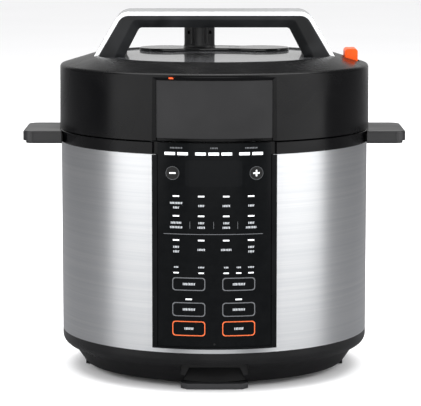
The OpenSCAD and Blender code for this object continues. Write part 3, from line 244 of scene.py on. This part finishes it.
def clearPlastic(name, colour):
    # Moulded polypropylene cup: cloudy and see-through
    material, tree, shader, place = startMaterial(name, colour, 0.22, ior=1.49)
    haze = add(tree, "ShaderNodeTexNoise", {"Vector": place, "Scale": 1000 / 9, "Detail": 3.0})
    gloss = add(tree, "ShaderNodeMapRange",
                {"Value": haze.outputs[0], "To Min": 0.14, "To Max": 0.34})
    tree.links.new(gloss.outputs["Result"], shader.inputs["Roughness"])
    shader.inputs["Transmission Weight"].default_value = 0.8
    return material


finishes = {
    "lidBlack": mouldedPlastic("mouldedLidPolypropylene", "#040405", "#060607", 0.25, 0.6, 0.006,
                               mirror=0.18),
    "bodyBlack": mouldedPlastic("mouldedBasePolypropylene", "#0e0e0f", "#121213", 0.33, 0.6, 0.01,
                                mirror=0.3),
    "sideGrip": mouldedPlastic("mouldedSideHandleNylon", "#1e1e1f", "#242425", 0.34, 0.8, 0.012,
                               mirror=0.45),
    # The second handle colour is both the cloud tint and the painted edge highlight
    "gripNylon": edgeHighlightNylon("mouldedHandleNylon", "#121314", "#2a2b2d", 0.38, mirror=0.22),
    "valveNylon": mouldedPlastic("mouldedValveNylon", "#161617", "#1c1c1d", 0.38, 0.8, 0.012),
    "plateGrey": lacqueredDisc("lacqueredValvePlate", "#0b0c0d", "#121314", 0.45),
    "footGrey": mouldedPlastic("mouldedFootPlastic", "#29292b", "#303032", 0.42, 0.8, 0.015,
                               mirror=0.35),
    "panelBezel": mouldedPlastic("mouldedBezelAbs", "#0a0b0c", "#0f1011", 0.32, 0.7, 0.006, mirror=0.06),
    "insideBlack": mouldedPlastic("mouldedInnerPlastic", "#2b2b2d", "#333335", 0.5, 1.0, 0.02),
    "phenolic": mouldedPlastic("pressedPhenolic", "#1b1817", "#26211f", 0.5, 1.2, 0.03),
    "leverOrange": mouldedPlastic("mouldedLeverAbs", "#f04d04", "#f6590c", 0.3, 0.7, 0.005, mirror=0.2),
    "markOrange": printedInk("printedMarkOrange", "#ff5a1a"),
    "footRubber": mouldedPlastic("mouldedFootRubber", "#141414", "#1c1c1c", 0.75, 1.5, 0.05),
    "drumSteel": brushedMetal("brushedDrumStainless", "#e4e5e6", "#d8dadc", 0.34, 0.6, 90),
    "potSteel": brushedMetal("spunPotStainless", "#d2d4d6", "#babdc0", 0.22, 0.8, 160),
    "discLacquer": lacqueredDisc("lacqueredTopDisc", "#6c6d70", "#818286", 0.3),
    "badgeSatin": mouldedPlastic("mouldedSatinBadge", "#202021", "#252526", 0.55, 0.7, 0.012,
                                 mirror=0.25),
    "stripSilver": brushedMetal("anodisedHandleStrip", "#f4f5f6", "#e6e8ea", 0.2, 0.5, 60, "Y", 0.0, 0.004),
    "stampedSteel": pressedMetal("stampedStainless", "#c5c8ca", "#b1b4b7", 0.28, 6),
    "pressedAluminium": pressedMetal("pressedAluminiumSheet", "#b7b9bb", "#a3a5a8", 0.4, 8),
    "castAluminium": turnedMetal("turnedCastAluminium", "#a9abad", "#8f9193", 0.4, 0.9),
    "zincScrew": pressedMetal("zincPlatedSteel", "#c4c7c8", "#aeb0b0", 0.3, 1.2),
    "springWire": pressedMetal("drawnSpringWire", "#c9cbcd", "#b5b7b9", 0.25, 1.0),
    "elementTube": pressedMetal("heatStainedTube", "#7d736b", "#5b534d", 0.42, 4),
    "silicone": softSilicone("mouldedSilicone", "#ddd9d0", "#cfcac0"),
    "clearCup": clearPlastic("mouldedClearCup", "#dde4e8"),
    "boardMask": mouldedPlastic("solderMaskBoard", "#1f5a34", "#256b3d", 0.4, 1.5, 0.01),
    "partCases": mouldedPlastic("mouldedPartCases", "#20324f", "#1a2338", 0.45, 1.0, 0.02),
    "ledLens": mouldedPlastic("castLedLens", "#dfe4e8", "#eef1f4", 0.2, 1.0, 0.004),
    "ribbonJacket": mouldedPlastic("extrudedRibbon", "#c3c7cb", "#b3b7bb", 0.45, 1.3, 0.01),
    "wireJacket": mouldedPlastic("extrudedSiliconeLead", "#8a4b2c", "#a3583a", 0.5, 1.0, 0.01),
    "fuseSleeve": mouldedPlastic("wovenGlassSleeve", "#c9bda4", "#b7aa90", 0.8, 0.9, 0.12),
}


def touchOverlay(name):
    # Back-printed acrylic: deep black under a hard gloss, with a faint orange-peel
    material, tree, shader, place = startMaterial(name, "#0e0f10", 0.16, ior=1.49)
    shader.inputs["Specular IOR Level"].default_value = 0.06
    peel = add(tree, "ShaderNodeTexNoise", {"Vector": place, "Scale": 1000 / 7, "Detail": 1.0})
    tone = add(tree, "ShaderNodeMix",
               {0: peel.outputs[0], 6: srgb("#08090a"), 7: srgb("#0e0f10")}, data_type="RGBA")
    tree.links.new(tone.outputs[2], shader.inputs["Base Color"])
    bump = add(tree, "ShaderNodeBump",
               {"Height": peel.outputs[0], "Strength": 0.2, "Distance": mm(0.01)})
    tree.links.new(bump.outputs["Normal"], shader.inputs["Normal"])
    return material


finishes["touchGloss"] = touchOverlay("backPrintedOverlay")
finishes["windowFilter"] = printedInk("smokedDisplayWindow", "#101112")
windowShader = finishes["windowFilter"].node_tree.nodes["Principled BSDF"]
windowShader.inputs["Roughness"].default_value = 0.14
windowShader.inputs["Specular IOR Level"].default_value = 0.05
# The white marks get a painted glow, as if lit
finishes["inkWhite"] = printedInk("printedWhite", "#eef0f2", 0.25)
finishes["inkGrey"] = printedInk("printedGrey", "#a9acb0")
finishes["inkDim"] = printedInk("printedDimGrey", "#595b5e")
finishes["inkOrange"] = printedInk("printedOrange", "#d65c1e")
# Black print for the key discs, and painted shade for the pinhole
finishes["keyBlackAndHoleShade"] = printedInk("printedKeyBlackAndHoleShade", "#060606")

coats = {
    "lidBlack": ["lid_shell", "upper_collar"],
    "bodyBlack": ["base_housing", "base_cover", "inlet_frame", "cup_holder"],
    "sideGrip": ["side_handle_left", "side_handle_right"],
    "gripNylon": ["lid_handle"],
    "valveNylon": ["steam_valve"],
    "plateGrey": ["valve_plate"],
    "footGrey": ["front_foot"],
    "panelBezel": ["panel_bezel"],
    "insideBlack": ["panel_carrier", "lid_tray"],
    "phenolic": ["power_inlet", "push_rod", "valve_lifter", "pressure_switch"],
    "leverOrange": ["release_lever"],
    "markOrange": ["lock_mark"],
    "footRubber": ["foot_pads"],
    "drumSteel": ["steel_wrap"],
    "potSteel": ["inner_pot", "inner_lid", "anti_block_cap"],
    "discLacquer": ["lid_top_disc"],
    "badgeSatin": ["badge_plate"],
    "stripSilver": ["handle_trim"],
    "stampedSteel": ["locking_ring", "seal_rack", "steam_pipe", "float_valve", "sensor_bracket"],
    "pressedAluminium": ["outer_pot", "pot_support"],
    "castAluminium": ["heating_plate", "temperature_sensor"],
    "zincScrew": ["base_screws", "side_handle_screws", "collar_screws", "tray_screws",
                  "handle_screws", "lid_nuts", "lever_pin"],
    "springWire": ["sensor_spring"],
    "elementTube": ["heating_element"],
    "silicone": ["sealing_ring", "float_cap"],
    "clearCup": ["condensate_cup"],
    "boardMask": ["control_board", "power_board"],
    "partCases": ["power_parts"],
    "ledLens": ["indicator_leds"],
    "ribbonJacket": ["ribbon_cable"],
    "wireJacket": ["wiring"],
    "fuseSleeve": ["thermal_fuse"],
    "touchGloss": ["touch_panel"],
    "windowFilter": ["display_module"],
}
for finish, names in coats.items():
    for nodeName in names:
        for materialSlot in nodes[nodeName].material_slots:
            materialSlot.link = "OBJECT"
            materialSlot.material = finishes[finish]
print("finishes given to", sum(len(names) for names in coats.values()), "nodes")


# ------ soft edges on the moulded parts

edgeRadii = {
    "side_handle_left": 0.8, "side_handle_right": 0.8,
    "base_housing": 0.4, "front_foot": 0.6, "panel_bezel": 0.3, "valve_plate": 1.0,
    "steam_valve": 0.5, "release_lever": 0.9, "badge_plate": 0.3, "inlet_frame": 0.6,
    "cup_holder": 0.5, "condensate_cup": 0.5, "power_inlet": 0.3, "touch_panel": 0.25,
}


def softenEdges(piece, radiusMm):
    weld = piece.modifiers.new("weld", "WELD")
    weld.merge_threshold = mm(0.004)
    bevel = piece.modifiers.new("softEdge", "BEVEL")
    bevel.width = mm(radiusMm)
    bevel.segments = 2
    bevel.limit_method = "ANGLE"
    bevel.angle_limit = math.radians(38)
    bevel.use_clamp_overlap = True
    weighted = piece.modifiers.new("faceNormals", "WEIGHTED_NORMAL")
    weighted.keep_sharp = True


for nodeName, radius in edgeRadii.items():
    softenEdges(nodes[nodeName], radius)
print("edges softened on", len(edgeRadii), "nodes")


# ------ lid handle

handle = {
    "stripMm": 3.8,          # bright strip over the arch
    "barMm": 10.2,           # grip bar under the strip
    "footMm": 27.0,          # width of each foot
    "outerSlope": 59.5,      # degrees from the horizontal
    "innerSlope": 62.5,
    "barFaceMm": 3.2,        # flat front face of the bar
    "legChamferMm": 8.5,     # front face set back from the opening on the legs
    "edgeChamferMm": 7.0,    # depth of that chamfer
    "stripCornerMm": 13.8,
    "gripCornerMm": 10.0,
    "openingCornerMm": 4.0,
    "arcSteps": 9,
}
trimLow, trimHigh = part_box("handle_trim")
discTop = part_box("lid_top_disc")[1].z


def cornerArc(before, corner, after, radius, steps):
    u = (before - corner).normalized()
    v = (after - corner).normalized()
    half = u.angle(v) / 2
    middle = corner + (u + v).normalized() * (radius / math.sin(half))
    first = corner + u * (radius / math.tan(half)) - middle
    last = corner + v * (radius / math.tan(half)) - middle
    turn = first.angle(last)
    points = []
    for i in range(steps + 1):
        share = i / steps
        a = math.sin((1 - share) * turn) / math.sin(turn)
        b = math.sin(share * turn) / math.sin(turn)
        points.append(middle + first * a + last * b)
    return points


def archLine(footX, kneeZ, footZ, topX, topZ, radius):
    # Right foot, over the top, to the left foot
    foot = Vector((footX, footZ))
    knee = Vector((footX, kneeZ))
    top = Vector((topX, topZ))
    right = [foot, knee] + cornerArc(knee, top, Vector((0, topZ)), radius, handle["arcSteps"])
    return right + [Vector((-p.x, p.y)) for p in reversed(right)]


def loft(name, rings, finish, body, bevelMm, replaced):
    # Closed rings of equal count, joined in order and capped
    mesh = bpy.data.meshes.new(name)
    count = len(rings[0])
    points = [p for ring in rings for p in ring]
    faces = []
    for i in range(len(rings) - 1):
        for k in range(count):
            a = i * count + k
            b = i * count + (k + 1) % count
            faces.append((a, b, b + count, a + count))
    faces.append(tuple(range(count)))
    faces.append(tuple((len(rings) - 1) * count + k for k in range(count)))
    mesh.from_pydata(points, [], faces)
    shape = bmesh.new()
    shape.from_mesh(mesh)
    bmesh.ops.recalc_face_normals(shape, faces=shape.faces)
    shape.to_mesh(mesh)
    shape.free()
    for face in mesh.polygons:
        face.use_smooth = True
    mesh.materials.append(finishes[finish])
    piece = bpy.data.objects.new(name, mesh)
    bpy.context.collection.objects.link(piece)
    bevel = piece.modifiers.new("softEdge", "BEVEL")
    bevel.width = mm(bevelMm)
    bevel.segments = 3
    bevel.limit_method = "ANGLE"
    bevel.angle_limit = math.radians(28)
    weighted = piece.modifiers.new("faceNormals", "WEIGHTED_NORMAL")
    weighted.keep_sharp = True
    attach(piece, body)
    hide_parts(*replaced)
    return piece


def buildHandle():
    footZ = trimLow.z
    kneeZ = discTop + mm(1)
    outX = trimHigh.x
    topZ = trimHigh.z
    depth = trimHigh.y
    outTan = math.tan(math.radians(handle["outerSlope"]))
    inTan = math.tan(math.radians(handle["innerSlope"]))
    side = mm(handle["stripMm"]) / math.sin(math.radians(handle["outerSlope"]))
    barTop = topZ - mm(handle["stripMm"])
    barLow = barTop - mm(handle["barMm"])
    inX = outX - mm(handle["footMm"])
    faceX = inX + mm(handle["legChamferMm"])
    faceZ = barTop - mm(handle["barFaceMm"])
    gripX = outX - side

    strip = archLine(outX, kneeZ, footZ, outX - (topZ - kneeZ) / outTan, topZ,
                     mm(handle["stripCornerMm"]))
    grip = archLine(gripX, kneeZ, footZ, gripX - (barTop - kneeZ) / outTan, barTop,
                    mm(handle["gripCornerMm"]))
    face = archLine(faceX, kneeZ, footZ, faceX - (faceZ - kneeZ) / inTan, faceZ, mm(6))
    inner = archLine(inX, kneeZ, footZ, inX - (barLow - kneeZ) / inTan, barLow,
                     mm(handle["openingCornerMm"]))
    hidden = depth - mm(handle["edgeChamferMm"])

    bodyRings = []
    for o, f, i in zip(grip, face, inner):
        bodyRings.append([(o.x, -depth, o.y), (o.x, depth, o.y), (f.x, depth, f.y),
                          (i.x, hidden, i.y), (i.x, -hidden, i.y), (f.x, -depth, f.y)])
    stripRings = []
    for o, g in zip(strip, grip):
        stripRings.append([(o.x, -depth, o.y), (o.x, depth, o.y), (g.x, depth, g.y),
                           (g.x, -depth, g.y)])
    loft("lidHandleGrip", bodyRings, "gripNylon", "lid", 0.7, ["lid_handle"])
    loft("lidHandleStrip", stripRings, "stripSilver", "lid", 0.55, ["handle_trim"])


buildHandle()
print("lid handle built")


# ------ printed marks on the touch panel

panel = {
    "faceRadiusMm": 136.4,
    "liftMm": 0.05,
    "topBars": [-37.2, -26.5, -11.6, -0.6, 10.2, 25.0, 35.9],
    "topBarSize": (8.8, 2.4),
    "topBarZ": 202.4,
    "keyZ": 186.0,
    "keyX": 35.0,
    "keyRadius": 5.6,
    "window": (-24.4, 23.2, 174.9, 197.0),
    "columns": [-32.1, -11.1, 9.8, 30.6],
    "lampSize": (5.3, 1.15),
    "lampRows": [166.8, 150.2, 129.8],
    "dividerZ": 134.9,
    "settingZ": 102.2,
    "settingX": [-32.1, -11.1, 9.8, 20.3, 30.6],
    "softKeys": [(87.2, 98.3, "inkDim"), (65.3, 77.2, "inkDim"), (48.7, 61.3, "inkOrange")],
    "softKeyX": [(-35.3, -7.7), (6.6, 34.1)],
    "lampOverKeyZ": 79.9,
    "lampOverKeyX": [-21.5, 20.3],
    "headingZ": 207.2,
    "headings": [(-32, 8), (-0.5, 5), (30.5, 8)],     # middle, and letters in the word
    "signLong": 5.2,
    "signWide": 1.2,
    "oneLineDrop": 7.9,                               # lamp to a word of one line
    "twoLineDrops": (5.8, 9.6),
    "dividerMiddle": -1.0,
    "dividerSize": (83.0, 0.5),
    "tickX": [-20.5, -0.7, 19.4],
    "tickZ": 142.6,
    "tickSize": (0.35, 6.0),
    "settingWordZ": 107.0,
    "settingLamp": (4.4, 1.05),
    "settingLetters": [3, 4, 3, 3, 4],
    "pinholeZ": 41.8,
    "pinholeRadius": 0.9,
}


def onPanel(x, z, lift):
    # x is measured straight across the front, in millimetres
    radius = panel["faceRadiusMm"] + lift
    return (mm(x), -mm(math.sqrt(radius * radius - x * x)), mm(z))


def barShape(x, z, width, height):
    columns = max(1, math.ceil(width / 3))
    points = []
    for i in range(columns + 1):
        px = x - width / 2 + width * i / columns
        points += [(px, z - height / 2), (px, z + height / 2)]
    faces = [(2 * i, 2 * i + 2, 2 * i + 3, 2 * i + 1) for i in range(columns)]
    return points, faces


def roundedPath(x0, x1, z0, z1, radius):
    path = []
    for cx, cz, start in ((x1 - radius, z1 - radius, 0), (x0 + radius, z1 - radius, 90),
                          (x0 + radius, z0 + radius, 180), (x1 - radius, z0 + radius, 270)):
        for step in range(7):
            angle = math.radians(start + step * 15)
            path.append((cx + radius * math.cos(angle), cz + radius * math.sin(angle)))
    dense = []
    for i, p in enumerate(path):
        q = path[(i + 1) % len(path)]
        pieces = max(1, math.ceil(math.dist(p, q) / 3))
        dense += [(p[0] + (q[0] - p[0]) * k / pieces, p[1] + (q[1] - p[1]) * k / pieces)
                  for k in range(pieces)]
    return dense


def outlineShape(x0, x1, z0, z1, radius, stroke):
    outer = roundedPath(x0, x1, z0, z1, radius)
    middle = ((x0 + x1) / 2, (z0 + z1) / 2)
    shrinkX = 1 - 2 * stroke / (x1 - x0)
    shrinkZ = 1 - 2 * stroke / (z1 - z0)
    inner = [(middle[0] + (p[0] - middle[0]) * shrinkX, middle[1] + (p[1] - middle[1]) * shrinkZ)
             for p in outer]
    count = len(outer)
    faces = [(i, (i + 1) % count, count + (i + 1) % count, count + i) for i in range(count)]
    return outer + inner, faces


def windowShape(x0, x1, z0, z1):
    # Filled, in columns so that it follows the curve
    columns = math.ceil((x1 - x0) / 3)
    cut = 1.2
    points = []
    for i in range(columns + 1):
        px = x0 + (x1 - x0) * i / columns
        trim = cut if i in (0, columns) else 0
        points += [(px, z0 + trim), (px, z1 - trim)]
    faces = [(2 * i, 2 * i + 2, 2 * i + 3, 2 * i + 1) for i in range(columns)]
    return points, faces


def discShape(x, z, inner, outer):
    sides = 40
    circle = [(math.cos(math.tau * i / sides), math.sin(math.tau * i / sides)) for i in range(sides)]
    points = [(x + outer * c, z + outer * s) for c, s in circle]
    if inner:
        points += [(x + inner * c, z + inner * s) for c, s in circle]
        faces = [(i, (i + 1) % sides, sides + (i + 1) % sides, sides + i) for i in range(sides)]
    else:
        points.append((x, z))
        faces = [(i, (i + 1) % sides, sides) for i in range(sides)]
    return points, faces


def wordMarks(x, z, letters, height=1.7):
    # Stand-in for a printed word: a row of small strokes of uneven width, no real letters
    marks = []
    step = 1.32
    left = x - step * (letters - 1) / 2
    for i in range(letters):
        width = 0.95 if i % 3 else 0.7
        marks.append(barShape(left + i * step, z, width, height))
        if i % 2:
            marks.append(barShape(left + i * step + 0.25, z + height * 0.38, 1.0, height * 0.2))
    return marks


def printPiece(name, shapes, finish, extraLift=0.0):
    points, faces = [], []
    for shapePoints, shapeFaces in shapes:
        base = len(points)
        points += [onPanel(x, z, panel["liftMm"] + extraLift) for x, z in shapePoints]
        faces += [tuple(base + i for i in face) for face in shapeFaces]
    mesh = bpy.data.meshes.new(name)
    mesh.from_pydata(points, [], faces)
    shape = bmesh.new()
    shape.from_mesh(mesh)
    for face in shape.faces:
        face.normal_update()
        if face.normal.y > 0:
            face.normal_flip()
    shape.to_mesh(mesh)
    shape.free()
    mesh.materials.append(finishes[finish])
    piece = bpy.data.objects.new(name, mesh)
    bpy.context.collection.objects.link(piece)
    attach(piece, "base")
    return piece


def buildPanelPrint():
    white, grey, dim, orange, black = [], [], [], [], []
    for x in panel["topBars"]:
        white.append(barShape(x, panel["topBarZ"], *panel["topBarSize"]))
    for x, letters in panel["headings"]:
        dim += wordMarks(x, panel["headingZ"], letters, 1.3)
    printPiece("displayWindow", [windowShape(*panel["window"])], "windowFilter")
    for sign in (-1, 1):
        x = sign * panel["keyX"]
        black.append(discShape(x, panel["keyZ"], 0, panel["keyRadius"]))
        dim.append(discShape(x, panel["keyZ"], panel["keyRadius"] - 0.25, panel["keyRadius"]))
        white.append(barShape(x, panel["keyZ"], panel["signLong"], panel["signWide"]))
        if sign > 0:
            white.append(barShape(x, panel["keyZ"], panel["signWide"], panel["signLong"]))
    labels = [  # letters in each word of each programme, top line then second line
        [(8, 4), (4,), (5,), (4,)],
        [(7, 8), (4, 5), (4, 5), (4, 7)],
        [(4, 4), (5,), (7,), (4, 4)],
    ]
    for rowZ, row in zip(panel["lampRows"], labels):
        for x, words in zip(panel["columns"], row):
            white.append(barShape(x, rowZ, *panel["lampSize"]))
            if len(words) == 1:
                grey += wordMarks(x, rowZ - panel["oneLineDrop"], words[0])
            else:
                for word, drop in zip(words, panel["twoLineDrops"]):
                    grey += wordMarks(x, rowZ - drop, word)
    dim.append(barShape(panel["dividerMiddle"], panel["dividerZ"], *panel["dividerSize"]))
    for x in panel["tickX"]:
        dim.append(barShape(x, panel["tickZ"], *panel["tickSize"]))
    for x, letters in zip(panel["settingX"], panel["settingLetters"]):
        white.append(barShape(x, panel["settingZ"], *panel["settingLamp"]))
        grey += wordMarks(x, panel["settingWordZ"], letters, 1.3)
    for z0, z1, finish in panel["softKeys"]:
        target = orange if finish == "inkOrange" else dim
        for (x0, x1), letters in zip(panel["softKeyX"], (8, 8)):
            target.append(outlineShape(x0, x1, z0, z1, 2.6, 0.75))
            grey += wordMarks((x0 + x1) / 2, (z0 + z1) / 2, letters - (2 if z0 < 60 else 0), 1.9)
    for x in panel["lampOverKeyX"]:
        white.append(barShape(x, panel["lampOverKeyZ"], *panel["lampSize"]))
    # The pinhole is a painted black disc: painted shade where the hole is
    black.append(discShape(0, panel["pinholeZ"], 0, panel["pinholeRadius"]))
    printPiece("panelKeyDiscsAndHoleShade", black, "keyBlackAndHoleShade")
    printPiece("panelDimMarks", dim, "inkDim", 0.02)
    printPiece("panelGreyMarks", grey, "inkGrey", 0.03)
    printPiece("panelOrangeMarks", orange, "inkOrange", 0.02)
    printPiece("panelWhiteMarks", white, "inkWhite", 0.04)


buildPanelPrint()
print("panel marks printed")


# ------ studio

studio = {
    "floorSize": 40.0,
    "floorColour": "#f8f8f9",
    "floorMottle": "#f4f4f5",
    "floorPaintedReflectionShade": "#6a6a6c",   # painted shade: gloss sees the floor darker, standing in for black flags round the set
    "worldColour": "#ffffff",
    "worldStrength": 1.16,
    "worldMirrored": 0.14,
    "worldSeen": 1.0,
    "lights": [  # name, place, width, height, watts, aim height
        ("softboxLeft", (-1.08, -0.72, 0.8), 1.1, 1.6, 10.6, 0.7),
        ("softboxRight", (1.15, -0.64, 0.8), 1.2, 1.6, 12.8, 0.7),
        ("frontFill", (0.0, -1.5, 0.5), 1.0, 1.0, 4.6, 0.4),
        ("topSheet", (0.0, 0.4, 2.4), 3.0, 2.0, 80, 0.1),
        ("backSweep", (0.0, 3.0, 0.85), 4.0, 1.7, 9.5, 0.4),
    ],
}


def buildStudio():
    mesh = bpy.data.meshes.new("floor")
    half = studio["floorSize"] / 2
    mesh.from_pydata([(-half, -half, 0), (half, -half, 0), (half, half, 0), (-half, half, 0)], [],
                     [(0, 1, 2, 3)])
    floorPaint, tree, shader, place = startMaterial("paintedFloor", studio["floorColour"], 0.6)
    # Roller-painted board: a barely visible mottle
    mottle = add(tree, "ShaderNodeTexNoise", {"Vector": place, "Scale": 2.5, "Detail": 2.0})
    tone = add(tree, "ShaderNodeMix",
               {0: mottle.outputs[0], 6: srgb(studio["floorColour"]),
                7: srgb(studio["floorMottle"])}, data_type="RGBA")
    # Painted shade in reflections: glossy rays see the floor darker than the camera does
    ray = add(tree, "ShaderNodeLightPath")
    glossShadeMix = add(tree, "ShaderNodeMix",
                  {0: ray.outputs["Is Glossy Ray"], 6: tone.outputs[2],
                   7: srgb(studio["floorPaintedReflectionShade"])}, data_type="RGBA")
    tree.links.new(glossShadeMix.outputs[2], shader.inputs["Base Color"])
    mesh.materials.append(floorPaint)
    floor = bpy.data.objects.new("floor", mesh)
    bpy.context.collection.objects.link(floor)

    world = bpy.data.worlds.new("studioWorld")
    world.use_nodes = True
    tree = world.node_tree
    background = tree.nodes["Background"]
    background.inputs["Color"].default_value = srgb(studio["worldColour"])
    ray = add(tree, "ShaderNodeLightPath")
    mirrored = add(tree, "ShaderNodeMix",
                   {0: ray.outputs["Is Glossy Ray"], 2: studio["worldStrength"],
                    3: studio["worldMirrored"]})
    seen = add(tree, "ShaderNodeMix",
               {0: ray.outputs["Is Camera Ray"], 2: mirrored.outputs[0], 3: studio["worldSeen"]})
    tree.links.new(seen.outputs[0], background.inputs["Strength"])
    bpy.context.scene.world = world

    for name, place, width, height, watts, aimZ in studio["lights"]:
        data = bpy.data.lights.new(name, "AREA")
        data.shape = "RECTANGLE"
        data.size = width
        data.size_y = height
        data.energy = watts
        light = bpy.data.objects.new(name, data)
        light.location = place
        aim = Vector((0, 0, aimZ)) - Vector(place)
        light.rotation_euler = aim.to_track_quat("-Z", "Y").to_euler()
        light.visible_camera = False
        bpy.context.collection.objects.link(light)


camera = {
    "lensMm": 200.1,
    "sensorMm": 36.0,
    "place": (-0.0033, -2.065, 0.4205),
    "tiltDown": 7.65,
}


def placeCamera():
    data = bpy.data.cameras.new("camera")
    data.lens = camera["lensMm"]
    data.sensor_width = camera["sensorMm"]
    data.sensor_fit = "HORIZONTAL"
    data.clip_end = 100
    eye = bpy.data.objects.new("camera", data)
    eye.location = camera["place"]
    eye.rotation_euler = (math.radians(90 - camera["tiltDown"]), 0, 0)
    bpy.context.collection.objects.link(eye)
    bpy.context.scene.camera = eye


buildStudio()
placeCamera()
bpy.context.scene.view_settings.view_transform = "Standard"
print("studio and camera set")
